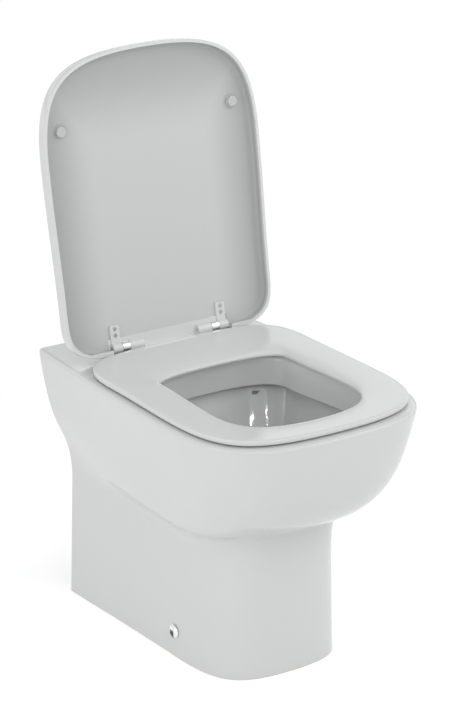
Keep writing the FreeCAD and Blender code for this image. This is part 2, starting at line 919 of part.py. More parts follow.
def hinge_post(label, side):
    """A post that rises from the deck and leans forward to the hinge's axis"""
    across = f"{side} * Sizes.hinge_spacing / 2"
    barrel, rise = "Sizes.hinge_barrel", "(Sizes.hinge_rise - Sizes.gasket_thickness)"
    base = "Sizes.post_base_thickness"
    web = document.addObject("PartDesign::Body", f"post_web_{label}")
    sketch = profile_sketch(web, "YZ_Plane", [
        (f"{ahead} * {barrel}", f"{low} * {base} + {high} * {rise} + {up} * {barrel}")
        for ahead, low, high, up in POST_WEB_SHARES
    ])
    pad = web.newObject("PartDesign::Pad", f"post_web_{label}_pad")
    pad.Profile = sketch
    pad.setExpression("Length", "Sizes.post_width")
    move(web, "-Sizes.post_width / 2", f"-(Sizes.hinge_place - Sizes.hinge_stud_place) - {barrel}")
    foot = block(f"post_foot_{label}", "Sizes.post_base_width", "Sizes.post_base_length", base)
    move(foot, "-Sizes.post_base_width / 2", "-Sizes.post_base_length / 2")
    round_end = cylinder(f"post_barrel_{label}", f"{barrel} / 2", "Sizes.post_width")
    bore = cylinder(
        f"post_bore_{label}", "Sizes.hinge_pin_width / 2 + Sizes.running_clearance",
        "Sizes.post_width + 2 * Sizes.cut_overrun",
    )
    axis = "-(Sizes.hinge_place - Sizes.hinge_stud_place)"
    near_side = "-Sizes.post_width / 2"
    for piece, start in ((round_end, near_side), (bore, f"{near_side} - Sizes.cut_overrun")):
        piece.Placement = Placement(Vector(), ACROSS)
        move(piece, start, axis, rise)
    stud = cylinder(f"post_stud_space_{label}", STUD_BORE, "Sizes.stud_insertion + Sizes.part_clearance")
    space = joined(f"post_spaces_{label}", [bore, stud])
    post = cut_away(f"hinge_post_{label}", joined(f"post_body_{label}", [web, foot, round_end]), space)
    place(post, "Sizes.hinge_stud_place", POST_FOOT, across)
    return keep(post, f"hinge_post_{label}")


def stud(label, side):
    """A threaded stud that hangs from the post through the deck"""
    piece = cylinder(f"stud_{label}", "Sizes.stud_width / 2", "Sizes.stud_length")
    place(piece, "Sizes.hinge_stud_place", f"{POST_FOOT} + Sizes.stud_insertion - Sizes.stud_length",
          f"{side} * Sizes.hinge_spacing / 2")
    return piece


def cone_washer(label, side):
    under_deck = "Sizes.pan_height - Sizes.deck_thickness"
    return turned(f"cone_washer_{label}", [
        (STUD_BORE, "0"),
        ("Sizes.cone_bottom_width / 2", "0"),
        ("Sizes.cone_top_width / 2", f"{CONE_EDGE_SHARE} * Sizes.cone_height"),
        ("Sizes.cone_top_width / 2", "Sizes.cone_height"),
        (STUD_BORE, "Sizes.cone_height"),
    ], "Sizes.hinge_stud_place", f"{under_deck} - Sizes.cone_height", f"{side} * Sizes.hinge_spacing / 2")


def wing_nut(label, side):
    span, thick, tall = "Sizes.nut_wing_span", "Sizes.nut_wing_thickness", "Sizes.nut_wing_height"
    hub = cylinder(f"nut_hub_{label}", "Sizes.nut_hub_width / 2", "Sizes.nut_height")
    wings = block(f"nut_wings_{label}", span, thick, tall)
    move(wings, f"-{span} / 2", f"-{thick} / 2", f"{WING_TOP_SHARE} * Sizes.nut_height - {tall}")
    bore = cylinder(f"nut_bore_{label}", STUD_BORE, "2 * Sizes.nut_height + 2 * Sizes.nut_wing_height")
    move(bore, up="-Sizes.nut_wing_height")
    nut = cut_away(f"wing_nut_{label}", joined(f"nut_body_{label}", [hub, wings]), bore)
    place(nut, "Sizes.hinge_stud_place",
          "Sizes.pan_height - Sizes.deck_thickness - Sizes.cone_height - Sizes.nut_height",
          f"{side} * Sizes.hinge_spacing / 2")
    return nut


def hinge_pin(label, side):
    """The shaft that carries a seat knuckle and a lid knuckle on one post"""
    length = "(Sizes.post_width + Sizes.seat_knuckle_width + Sizes.lid_knuckle_width)"
    leftmost = "Sizes.seat_knuckle_width" if side > 0 else "Sizes.lid_knuckle_width"
    start = f"{side} * Sizes.hinge_spacing / 2 - Sizes.post_width / 2 - {leftmost}"
    pin = cylinder(f"hinge_pin_{label}", "Sizes.hinge_pin_width / 2", length)
    place(pin, "Sizes.hinge_place", "Sizes.pan_height + Sizes.hinge_rise", start, ACROSS)
    return keep(pin, f"hinge_pin_{label}")


for label, side in SIDES:
    hinge_post(label, side)
    pad = bored_block(f"hinge_gasket_{label}", "Sizes.post_base_width", "Sizes.post_base_length",
                      "Sizes.gasket_thickness", STUD_BORE, f"{side} * Sizes.hinge_spacing / 2",
                      "Sizes.hinge_stud_place", "Sizes.pan_height")
    keep(pad, f"hinge_gasket_{label}")
    hinge_pin(label, side)
CLAMP_MAKERS = {
    "hinge_studs": stud,
    "hinge_cone_washers": cone_washer,
    "hinge_wing_nuts": wing_nut,
}
for name, maker in CLAMP_MAKERS.items():
    pair = document.addObject("Part::Compound", name)
    pair.Links = [maker(label, side) for label, side in SIDES]
    keep(pair, name)

# The seat

hinge_height = size("pan_height") + size("hinge_rise")
seat_floor = size("pan_height") + size("seat_lift")


def seat_half():
    """Half the seat's width where it is widest"""
    return size("pan_width") / 2 - size("seat_side_margin")


def seat_front():
    """How far from the wall the seat's front edge lies"""
    return size("pan_depth") - size("seat_front_margin")


def seat_outlines():
    half, front = seat_half(), seat_front()
    rear_half = half - size("seat_rear_taper")
    opening_front = front - size("seat_front_band")
    outer = Outline(
        rear=size("seat_rear"),
        rear_half=rear_half,
        rear_side=size("seat_rear_place"),
        front_half=half,
        front_side=front - size("seat_front_length"),
        front=front,
        heel=SEAT_HEEL_SHARE,
        corner=SEAT_CORNER_SHARE,
    )
    inner = Outline(
        rear=size("seat_opening_rear"),
        rear_half=rear_half - size("seat_rear_side_band"),
        rear_side=size("seat_opening_rear_place"),
        front_half=half - size("seat_side_band"),
        front_side=opening_front - size("seat_opening_front_length"),
        front=opening_front,
        heel=OPENING_CORNER_SHARE,
        corner=OPENING_CORNER_SHARE,
    )
    return outer, inner


def ring_solid():
    """The contoured ring: higher at the rear, falling to the front and inwards"""
    outer, inner = seat_outlines()
    rear, front = size("seat_rear_thickness"), size("seat_front_thickness")
    side = blend(rear, front, SEAT_FALL_SHARE)
    edge = size("seat_edge")
    rows = [loop(inset(outer, edge), seat_floor)]
    for inwards, height in SEAT_SHARES:
        heights = [seat_floor + thickness * height for thickness in (rear, side, front)]
        rows.append(loop(between(outer, inner, inwards), *heights))
    rows.append(loop(inset(inner, -edge), seat_floor))
    under = Part.makeFace([ring_wire(rows[0]), ring_wire(rows[-1])], "Part::FaceMakerBullseye")
    return solid_of(skin(rows) + [under])


def knuckle_range(side, kind):
    """Where a knuckle begins and ends across the part, from the left to the right"""
    middle, post = side * size("hinge_spacing") / 2, size("post_width") / 2
    away = -side if kind == "seat" else side
    near = middle + away * (post + size("knuckle_gap"))
    far = middle + away * (post + size(f"{kind}_knuckle_width"))
    return min(near, far), max(near, far)


def axis_rod(diameter, across):
    """A round bar along the hinge's axis between two places across the part"""
    start, end = across
    return rod(diameter, Vector(start, 0, 0), Vector(end, 0, 0))


def damper_range(kind):
    """The stretch of a knuckle that its damper fills, at the end away from the post"""
    start, end = knuckle_range(damper_side(kind), kind)
    return end - size("damper_length"), end


def screw_space(head_up, at_point, length, grown):
    """A countersunk screw, or with a clearance the space that it fills"""
    head = size("arm_screw_head_width") / 2 + grown
    shank = size("arm_screw_width") / 2 + grown
    height = size("arm_screw_head_height")
    cone = Part.makeCone(head, shank, height, at_point, head_up)
    return cone.fuse(Part.makeCylinder(shank, length + grown, at_point, head_up))


def to_axis(shape):
    """Move a shape from the wall's frame so that the hinge's axis is its origin"""
    shape.translate(Vector(0, size("hinge_place"), -hinge_height))
    return shape


def arm_screw_points(kind):
    """Where the screws of both arms start, in the hinge's own frame"""
    heights = {"seat": seat_floor - hinge_height, "lid": lid_ceiling() - size("lid_arm_thickness")}
    points = []
    for label, side in SIDES:
        middle = sum(knuckle_range(side, kind)) / 2
        for spot in ("rear", "front"):
            points.append(Vector(middle, -size(f"{kind}_screw_{spot}"), heights[kind]))
    return points


def lid_ceiling():
    """Height of the lid's hollow over the hinge's axis when the lid is shut"""
    return size("lid_depth") - size("lid_drop") - size("lid_plate")


def seat_arm(side, grown=0.0):
    """The flat arm under the ring and the web that carries it to the barrel"""
    start, end = knuckle_range(side, "seat")
    across = (start - grown, end + grown)
    floor = seat_floor - hinge_height
    top = floor + size("seat_arm_thickness") + grown
    arm = box(across, (-size("seat_arm_length") - grown, 0), (floor, top))
    reach = size("hinge_place") + 2 * size("part_clearance") - size("seat_rear")
    web = box(across, (reach, 0), (floor, 0))
    return arm.fuse(web)


def knuckle(side, kind, arm):
    """A barrel on the hinge's axis joined to its arm, bored for the pin and damper"""
    across = knuckle_range(side, kind)
    body = arm.fuse(axis_rod(size("hinge_barrel"), across))
    clear = 2 * size("running_clearance")
    body = body.cut(axis_rod(size("hinge_pin_width") + clear, (across[0] - clear, across[1] + clear)))
    if side == damper_side(kind):
        body = body.cut(axis_rod(size("damper_width") + clear, damper_range(kind)))
    for point in arm_screw_points(kind):
        body = body.cut(screw_space(Vector(0, 0, 1), point, screw_length(kind), size("running_clearance")))
    return body


def damper_side(kind):
    """The seat's damper is in the left hinge, the lid's in the right one"""
    return -1 if kind == "seat" else 1


def screw_length(kind):
    return size(f"{kind}_screw_length")


def damper_shape(kind):
    across = damper_range(kind)
    bore = size("hinge_pin_width") + 2 * size("running_clearance")
    overrun = size("cut_overrun")
    return axis_rod(size("damper_width"), across).cut(
        axis_rod(bore, (across[0] - overrun, across[1] + overrun))
    )


BUMPER_ACROSS = "(Sizes.pan_width / 2 - Sizes.seat_side_margin - Sizes.bumper_inset)"
BUMPER_ROWS = {
    "front": "(Sizes.pan_depth - Sizes.seat_front_margin - Sizes.bumper_front_setback)",
    "rear": "(Sizes.seat_rear + Sizes.bumper_rear_setback)",
}


def bumper_feet():
    """Where each seat bumper's stem enters the ring, in the hinge's own frame"""
    across = seat_half() - size("bumper_inset")
    front = seat_front() - size("bumper_front_setback")
    rear = size("seat_rear") + size("bumper_rear_setback")
    return [
        Vector(side * across, size("hinge_place") - distance, seat_floor - hinge_height)
        for distance in (front, rear) for label, side in SIDES
    ]


def seat_shape():
    ring = to_axis(ring_solid())
    clear = size("running_clearance")
    for label, side in SIDES:
        ring = ring.cut(seat_arm(side, size("part_clearance")))
    for point in arm_screw_points("seat"):
        ring = ring.cut(screw_space(Vector(0, 0, 1), point, screw_length("seat"), clear))
    radius = size("bumper_stem_width") / 2 + clear
    for foot in bumper_feet():
        ring = ring.cut(Part.makeCylinder(radius, size("bumper_stem_height") + clear, foot))
    return ring


def hinged(label, shape, opened):
    """A piece drawn shut about the hinge's axis, which the lid's pieces are turned open on"""
    piece = document.addObject("Part::Feature", label)
    piece.Shape = shape
    if opened:
        piece.Placement = Placement(Vector(), Rotation(Vector(-1, 0, 0), size("lid_open_angle")))
        piece.setExpression("Placement.Rotation.Angle", "Sizes.lid_open_angle")
    piece.setExpression("Placement.Base.y", "Sizes.pan_depth / 2 - Sizes.hinge_place")
    piece.setExpression("Placement.Base.z", "Sizes.pan_height + Sizes.hinge_rise")
    return keep(piece, label)


seat_solid = seat_shape()
hinged("seat_ring", seat_solid, False)
for label, side in SIDES:
    hinged(f"seat_knuckle_{label}", knuckle(side, "seat", seat_arm(side)), False)
hinged("seat_damper", damper_shape("seat"), False)
hinged("seat_screws", Part.makeCompound([
    screw_space(Vector(0, 0, 1), point, screw_length("seat"), 0.0) for point in arm_screw_points("seat")
]), False)


def seat_bumper(name, side, distance):
    """An oval pad under the ring with a round stem pressed into it"""
    straight = "(Sizes.bumper_length - Sizes.bumper_width)"
    thick = "(Sizes.seat_lift - Sizes.seat_clearance)"
    half = "Sizes.bumper_width / 2"
    ends = [
        move(cylinder(f"bumper_end_{name}_{end}", half, thick), along=f"{sign} * {straight} / 2")
        for end, sign in (("front", -1), ("rear", 1))
    ]
    middle = block(f"bumper_middle_{name}", "Sizes.bumper_width", straight, thick)
    move(middle, f"-{half}", f"-{straight} / 2")
    tall = f"{thick} + Sizes.bumper_stem_height"
    stem = cylinder(f"bumper_stem_{name}", "Sizes.bumper_stem_width / 2", tall)
    whole = joined(f"seat_bumper_{name}", ends + [middle, stem])
    across = f"{side} * {BUMPER_ACROSS}"
    place(whole, distance, "Sizes.pan_height + Sizes.seat_clearance", across)
    return keep(whole, f"seat_bumper_{name}")


for row, distance in BUMPER_ROWS.items():
    for label, side in SIDES:
        seat_bumper(f"{row}_{label}", side, distance)

# The lid, drawn shut about the hinge's axis and turned open at rest


def lid_half():
    """Half the lid's width where it is widest"""
    return size("pan_width") / 2 + size("lid_side_overhang")


def lid_length():
    """How far the shut lid reaches ahead of the hinge's axis"""
    return seat_front() + size("lid_front_overhang") - size("hinge_place")


def lid_outline():
    return Outline(
        rear=-size("lid_heel_radius") - size("cut_overrun"),
        rear_half=lid_half() - size("lid_rear_taper"),
        rear_side=size("lid_rear_place"),
        front_half=lid_half(),
        front_side=lid_length() - size("lid_front_length"),
        front=lid_length(),
        heel=SEAT_HEEL_SHARE,
        corner=LID_CORNER_SHARE,
    )


def lid_space(outline, start, depth, shares):
    """The solid inside the lid's skin or its hollow, from the rim edge upwards"""
    low, crown = -size("lid_drop"), size("lid_crown_width")
    rows = [start]
    for inwards, up in shares:
        rows.append(loop(inset(outline, crown * inwards), low + depth * up))
    return capped(rows)


def ahead_of_heel(solid, radius):
    """The part of a solid ahead of the hinge's axis, and round the axis within a radius"""
    width, length = 2 * lid_half(), 2 * lid_length()
    space = box((-width, width), (-length, 0), (-length, length))
    return solid.common(space.fuse(axis_rod(2 * radius, (-width, width))))


def lid_shape():
    outline, low = lid_outline(), -size("lid_drop")
    depth, wall = size("lid_depth"), size("lid_wall")
    skin_start = loop(inset(outline, size("lid_edge") / 2), low)
    body = lid_space(outline, skin_start, depth, LID_SKIN_SHARES)
    hollow = inset(outline, wall)
    hollow_start = loop(hollow, low - size("cut_overrun"))
    hollow_space = lid_space(hollow, hollow_start, depth - size("lid_plate"), LID_HOLLOW_SHARES)
    heel = size("lid_heel_radius")
    body = ahead_of_heel(body, heel).cut(ahead_of_heel(hollow_space, heel - wall))
    length = lid_length()
    half, notch = size("lid_notch_width") / 2, size("lid_notch_depth")
    body = body.cut(box((-half, half), (-notch, length), (-length, length)))
    for label, side in SIDES:
        foot = lid_bumper_foot(side)
        radius = size("lid_bumper_stem_width") / 2 + size("running_clearance")
        stem = size("lid_bumper_stem_height") + size("running_clearance")
        body = body.cut(Part.makeCylinder(radius, stem, foot))
    for point in arm_screw_points("lid"):
        body = body.cut(screw_space(Vector(0, 0, 1), point, screw_length("lid"), size("running_clearance")))
    return body


def lid_bumper_foot(side):
    """Where a lid bumper meets the ceiling of the lid's hollow"""
    across = lid_half() - size("lid_bumper_inset")
    return Vector(side * across, size("lid_bumper_setback") - lid_length(), lid_ceiling())


def lid_bumper(side):
    """A round pad that reaches down to the seat when the lid is shut"""
    foot = lid_bumper_foot(side)
    radius = size("lid_bumper_width") / 2
    column = Part.makeCylinder(radius, size("lid_depth"), Vector(foot.x, foot.y, -size("lid_depth")))
    seat_top = seat_solid.common(column).optimalBoundingBox().ZMax
    base = seat_top + size("seat_clearance")
    pad = Part.makeCylinder(radius, foot.z - base, Vector(foot.x, foot.y, base))
    lowest = min(pad.Edges, key=lambda edge: edge.BoundBox.ZMax)
    pad = pad.makeFillet(size("lid_bumper_stem_width") / 4, [lowest])
    stem = Part.makeCylinder(size("lid_bumper_stem_width") / 2, size("lid_bumper_stem_height"), foot)
    return pad.fuse(stem)


def lid_arm(side):
    across = knuckle_range(side, "lid")
    ceiling = lid_ceiling()
    return box(across, (-size("lid_arm_length"), 0), (ceiling - size("lid_arm_thickness"), ceiling))


hinged("lid_shell", lid_shape(), True)
for label, side in SIDES:
    hinged(f"lid_bumper_{label}", lid_bumper(side), True)
    hinged(f"lid_knuckle_{label}", knuckle(side, "lid", lid_arm(side)), True)
hinged("lid_damper", damper_shape("lid"), True)
hinged("lid_screws", Part.makeCompound([
    screw_space(Vector(0, 0, 1), point, screw_length("lid"), 0.0) for point in arm_screw_points("lid")
]), True)

# Check and write every piece

document.recompute()
for item in document.Objects:
    if "Invalid" in item.State or "Error" in item.State:
        raise RuntimeError(f"{item.Label} failed to build")
for node in nodes:
    if node.Shape.isNull() or not node.Shape.isValid():
        raise RuntimeError(f"{node.Label} is not a valid solid")
os.makedirs("parts", exist_ok=True)
for node in nodes:
    node.Shape.exportStep(f"parts/{node.Label}.step")
    print(node.Label, len(node.Shape.Solids), round(node.Shape.Volume, 1))
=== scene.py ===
"""Looks of a floor-standing toilet: glaze, seat plastic, metal and rubber finishes, small
fittings, light, floor and camera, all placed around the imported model."""

import json
import math

import bmesh
import bpy
from mathutils import Matrix, Vector


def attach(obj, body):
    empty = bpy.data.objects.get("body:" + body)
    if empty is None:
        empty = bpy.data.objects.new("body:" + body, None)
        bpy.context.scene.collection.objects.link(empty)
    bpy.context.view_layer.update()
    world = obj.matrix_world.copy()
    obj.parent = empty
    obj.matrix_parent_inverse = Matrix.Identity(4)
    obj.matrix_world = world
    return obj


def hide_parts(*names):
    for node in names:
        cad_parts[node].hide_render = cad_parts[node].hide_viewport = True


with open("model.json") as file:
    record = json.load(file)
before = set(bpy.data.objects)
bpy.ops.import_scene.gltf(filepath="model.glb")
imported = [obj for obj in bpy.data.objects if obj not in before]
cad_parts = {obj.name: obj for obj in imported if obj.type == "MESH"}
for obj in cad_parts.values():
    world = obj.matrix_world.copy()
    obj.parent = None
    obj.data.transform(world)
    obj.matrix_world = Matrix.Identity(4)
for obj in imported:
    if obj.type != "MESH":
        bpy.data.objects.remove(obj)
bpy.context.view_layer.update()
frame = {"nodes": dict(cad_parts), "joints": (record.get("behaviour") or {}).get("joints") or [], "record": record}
nodes = frame["nodes"]
slot_of = {part["node"]: part["material_slot"] for part in frame["record"]["subparts"]}
body_of = {node: body for body, members in frame["record"]["behaviour"]["bodies"].items()
           for node in members}
lid_joint = next(joint for joint in frame["joints"] if joint["name"] == "lid_hinge")

# Camera: the photograph's viewing angle, in metres and degrees, and the lens in millimetres

CAMERA_TURN = -34.20
CAMERA_RISE = 20.397
CAMERA_DISTANCE = 4.6438
CAMERA_AIM = (0.17797, 0.28135, 0.30540)
CAMERA_LENS = 151.287
SENSOR_WIDTH = 36.0
CLIP_END = 50.0

# Directions, and how the open lid's underside faces

SIDEWAYS = (1.0, 0.0, 0.0)
FORWARDS = (0.0, -1.0, 0.0)
UPWARDS = (0.0, 0.0, 1.0)
DOWNWARDS = (0.0, 0.0, -1.0)
hinge_point = Vector(lid_joint["pos_m"])
lid_turn = Matrix.Rotation(-math.radians(max(lid_joint["range_deg"])), 3, Vector(lid_joint["axis"]))
lid_down = lid_turn @ Vector(DOWNWARDS)
lid_along = lid_turn @ Vector(FORWARDS)

# World: its light as a share of white, from the horizon up to a height, and its tint

HORIZON_LEVEL = 0.84
ZENITH_LEVEL = 0.62
ZENITH_START = 0.8
WORLD_TINT = (0.99, 0.995, 1.0, 1.0)
WHITE = (1.0, 1.0, 1.0, 1.0)

# What reflections see of the studio: height from straight down to straight up, and level

PANEL_STOPS = ((0.0, 0.80), (0.44, 0.80), (0.49, 1.25), (0.53, 1.25), (0.57, 0.55), (0.62, 0.60),
               (0.65, 1.35), (0.71, 1.35), (0.76, 0.60), (0.86, 0.70), (1.0, 1.05))

# Lamps, in metres and watts: name, place, aim, watts, width, height

LAMPS = (("side_lamp", (-2.8, -0.3, 0.9), (0.0, 0.0, 0.35), 13.5, 1.8, 1.6),
         ("high_lamp", (1.8, -1.2, 2.3), (0.0, 0.0, 0.35), 17.0, 1.8, 1.8),
         ("front_lamp", (-0.45, -2.45, 2.20), (0.0, 0.0, 0.35), 5.8, 1.6, 1.6),
         ("front_spark", (0.24, -2.70, 2.19), (0.07, 0.07, 0.31), 1.3, 0.26, 0.032),
         ("left_spark", (-1.11, -2.21, 2.20), (0.09, 0.06, 0.31), 1.3, 0.26, 0.032))

# Floor: a disc just below the foot, its paint, its glow and where it fades to white

FLOOR_RADIUS = 1.05
FLOOR_LEVEL = -0.0002
FLOOR_STEPS = 96
FLOOR_TONE = (0.86, 0.86, 0.86, 1.0)
FLOOR_GLOW = 0.42
FLOOR_FADE_SHARE = 0.4

# Finishes: each has a colour that drifts towards another, a roughness that varies, and
# long waves and fine grain, with heights in metres

GLAZE = {
    "color": (0.715, 0.718, 0.716, 1.0), "drift_color": (0.685, 0.689, 0.687, 1.0),
    "tone": {"Scale": 5.0, "Share": 0.35},
    "gloss": {"Smooth": 0.035, "Rough": 0.065, "Scale": 7.0},
    "relief": {"Wave_Scale": 9.0, "Wave_Height": 0.0004, "Grain_Scale": 260.0,
               "Grain_Height": 0.000006}}
SEAT_FINISH = {
    "color": (0.725, 0.728, 0.727, 1.0), "drift_color": (0.702, 0.706, 0.705, 1.0),
    "tone": {"Scale": 8.0, "Share": 0.3},
    "gloss": {"Smooth": 0.10, "Rough": 0.16, "Scale": 14.0},
    "relief": {"Wave_Scale": 22.0, "Wave_Height": 0.00012, "Grain_Scale": 520.0,
               "Grain_Height": 0.000006}}
MILKY_RUBBER = {
    "color": (0.575, 0.579, 0.577, 1.0), "drift_color": (0.535, 0.540, 0.536, 1.0),
    "tone": {"Scale": 60.0, "Share": 0.4},
    "gloss": {"Smooth": 0.36, "Rough": 0.5, "Scale": 50.0},
    "relief": {"Wave_Scale": 120.0, "Wave_Height": 0.00005, "Grain_Scale": 1400.0,
               "Grain_Height": 0.00002}}
BLACK_RUBBER = {
    "color": (0.022, 0.022, 0.023, 1.0), "drift_color": (0.075, 0.074, 0.072, 1.0),
    "tone": {"Scale": 90.0, "Share": 0.6},
    "gloss": {"Smooth": 0.55, "Rough": 0.8, "Scale": 60.0},
    "relief": {"Wave_Scale": 150.0, "Wave_Height": 0.00008, "Grain_Scale": 1600.0,
               "Grain_Height": 0.00003}}
POLISHED_CHROME = {
    "color": (0.84, 0.85, 0.86, 1.0), "drift_color": (0.76, 0.77, 0.79, 1.0),
    "tone": {"Scale": 120.0, "Share": 0.25},
    "gloss": {"Smooth": 0.04, "Rough": 0.10, "Scale": 110.0},
    "relief": {"Wave_Scale": 90.0, "Wave_Height": 0.00002, "Grain_Scale": 1500.0,
               "Grain_Height": 0.000002}}
TURNED_STEEL = {
    "color": (0.60, 0.60, 0.59, 1.0), "drift_color": (0.44, 0.44, 0.43, 1.0),
    "tone": {"Scale": 150.0, "Share": 0.5},
    "gloss": {"Smooth": 0.22, "Rough": 0.42, "Scale": 160.0},
    "relief": {"Wave_Scale": 160.0, "Wave_Height": 0.00002, "Grain_Scale": 900.0,
               "Grain_Height": 0.00001}}
MATT_PLASTIC = {
    "tone": {"Scale": 45.0, "Share": 0.5},
    "gloss": {"Smooth": 0.42, "Rough": 0.62, "Scale": 40.0},
    "relief": {"Wave_Scale": 70.0, "Wave_Height": 0.0001, "Grain_Scale": 1300.0,
               "Grain_Height": 0.00003}}
FIXING_COLORS = {"color": (0.62, 0.62, 0.60, 1.0), "drift_color": (0.54, 0.54, 0.52, 1.0)}
NUT_COLORS = {"color": (0.72, 0.72, 0.70, 1.0), "drift_color": (0.66, 0.66, 0.64, 1.0)}
DAMPER_COLORS = {"color": (0.045, 0.045, 0.048, 1.0), "drift_color": (0.075, 0.075, 0.078, 1.0)}
STEEL_STRETCH = (1.0, 1.0, 14.0)
GLAZE_IOR = 1.52
SEAT_IOR = 1.50
PLASTIC_IOR = 1.48
RUBBER_IOR = 1.45

# Shared textures: the kinds of their sockets, the detail of their noises, and the part of
# a noise that spreads over a whole range of roughness

FLOAT = "NodeSocketFloat"
COLOR = "NodeSocketColor"
VECTOR = "NodeSocketVector"
WAVE_NOISE = {"Detail": 2.0, "Roughness": 0.4}
GRAIN_NOISE = {"Detail": 3.0, "Roughness": 0.55}
CLOUD_NOISE = {"Detail": 4.0, "Roughness": 0.6}
SMUDGE_NOISE = {"Detail": 5.0, "Roughness": 0.65}
SMUDGE_SPREAD = (0.3, 0.7)

# Unglazed clay: where it shows, its two colours, its sand and its roughness

FOOT_BARE_HEIGHT = 0.0015
REAR_BARE_PLACE = 0.2645
CLAY_DARK = (0.64, 0.61, 0.56, 1.0)
CLAY_PALE = (0.76, 0.74, 0.70, 1.0)
SAND_NOISE = {"Scale": 900.0, "Detail": 3.0}
CLAY_ROUGHNESS = 0.85

# Lid plate: from where inside the rim it begins and where it is whole, how squarely it
# faces down, its finish, and the painted shade tone that it deepens to

PLATE_DEPTHS = (0.0090, 0.0040)
PLATE_FACING = (0.55, 0.95)
PLATE_TONE = {"Color": (0.625, 0.629, 0.627, 1.0), "Drift_Color": (0.590, 0.594, 0.593, 1.0),
              "Scale": 4.0, "Share": 0.5}
PLATE_PAINTED_SHADE_TONE = (0.445, 0.449, 0.448, 1.0)
PLATE_ROUGHNESS = 0.30

# Lid rim: how its inner wall, which takes the plate's full painted shade, is told from the outer,
# by the way it faces from the middle

PLATE_MIDDLE = 0.215
WALL_FACING = (-0.03, -0.09)

# Lid plate: where painted shade deepens its tone towards the sides, the end and round the pads

SIDE_PAINTED_SHADE = (0.090, 0.172)
END_PAINTED_SHADE = (0.290, 0.410)
PAD_PAINTED_SHADE = (0.021, 0.009)

# Chrome: how far its painted dark reflection reaches, as parts of the surface's direction

PAINTED_REFLECTION_WIDTHS = (0.34, 0.12)
PAINTED_REFLECTION_HEIGHTS = (0.25, 0.0)
PAINTED_REFLECTION_TONE = (0.05, 0.05, 0.055, 1.0)

# Small fittings: points round a round row, the angle that keeps an edge sharp, how finely
# two corners are told apart, and the least number to divide by

ROUND_STEPS = 32
SHARP_ANGLE = 40.0
WELD_SCALE = 1e5
LEAST_DIVISOR = 1e-9

# Rows of turned pieces from end to end: share of the radius, share of the length

CAP_ROWS = ((0.93, 0.00), (1.00, 0.05), (1.00, 0.24), (0.975, 0.34), (0.92, 0.46), (0.83, 0.60),
            (0.71, 0.74), (0.56, 0.86), (0.40, 0.94), (0.22, 0.985), (0.03, 1.00))
LID_BUMPER_ROWS = ((0.35, 0.00), (0.35, 0.25), (1.00, 0.26), (1.00, 0.36), (0.94, 0.40),
                   (0.94, 0.80), (0.91, 0.90), (0.82, 0.975), (0.68, 1.00), (0.52, 0.975),
                   (0.05, 0.965))

# Rows of an oval seat bumper: share of the straight, of the radius, of the length

SEAT_BUMPER_ROWS = ((0.0, 0.41, 0.00), (0.0, 0.41, 0.64), (1.0, 1.00, 0.65), (1.0, 1.00, 0.80),
                    (1.0, 0.96, 0.92), (1.0, 0.87, 0.99), (1.0, 0.75, 1.00), (1.0, 0.60, 0.98),
                    (1.0, 0.10, 0.98))

# Cross-recessed screws, in metres, with shares of the head's radius and the cross's size

SCREW_TIP = 0.0012
SCREW_POINT = 0.0009
HEAD_HEIGHT = 0.0020
HEAD_EDGE = 0.0002
HEAD_EDGE_INSET = 0.0001
SHANK_SHARE = 0.533
CROSS_LENGTH = 0.0021
CROSS_HALF_WIDTH = 0.00045
CROSS_DEPTH = 0.0012
CROSS_FLOOR_SHARE = 0.72

# Threaded studs, in metres, with shares of the radius and rows to a turn of the thread

THREAD_PITCH = 0.00125
THREAD_DEPTH_SHARE = 0.14
THREAD_ROWS = 6
THREAD_STEPS = 24
STUD_CHAMFER = 0.0009
CHAMFER_SHARE = 0.72

# Wing nuts: rows round the hub as share of the radius and metres down, with the
# bore's share last, and rows of a wing as metres outwards, middle, height, thickness

NUT_HUB_ROWS = ((0.49, 0.0), (0.97, 0.0), (1.0, 0.0004), (1.0, 0.0018), (0.93, 0.0026),
                (0.80, 0.0068), (0.70, 0.0094), (0.64, 0.0100), (0.49, 0.0100))
NUT_WING_ROWS = ((0.0050, 0.0060, 0.0036, 0.0021), (0.0085, 0.0075, 0.0046, 0.0017),
                 (0.0120, 0.0103, 0.0056, 0.0015), (0.0160, 0.0121, 0.0057, 0.0015),
                 (0.0184, 0.0126, 0.0048, 0.0013), (0.0196, 0.0128, 0.0032, 0.0010),
                 (0.0200, 0.0128, 0.0014, 0.0005))
WING_STEPS = 20
WING_CORNER_POWER = 0.55


def add_node(tree, kind, values=None, **settings):
    """A shader node with its settings and its sockets' values."""
    made = tree.nodes.new(kind)
    for name, value in settings.items():
        setattr(made, name, value)
    for name, value in (values or {}).items():
        made.inputs[name].default_value = value
    return made


def ranged(tree, limits, values=None, **settings):
    """A node that turns a range of values into 0 to 1, or into the values given."""
    start, end = limits
    sockets = {"From Min": start, "From Max": end, **(values or {})}
    return add_node(tree, "ShaderNodeMapRange", sockets, **settings)


def new_group(name, inputs, outputs):
    """A shader node group with named sockets, and its input and output nodes."""
    group = bpy.data.node_groups.new(name, "ShaderNodeTree")
    for label, kind in inputs:
        group.interface.new_socket(label, in_out="INPUT", socket_type=kind)
    for label, kind in outputs:
        group.interface.new_socket(label, in_out="OUTPUT", socket_type=kind)
    return group, group.nodes.new("NodeGroupInput"), group.nodes.new("NodeGroupOutput")


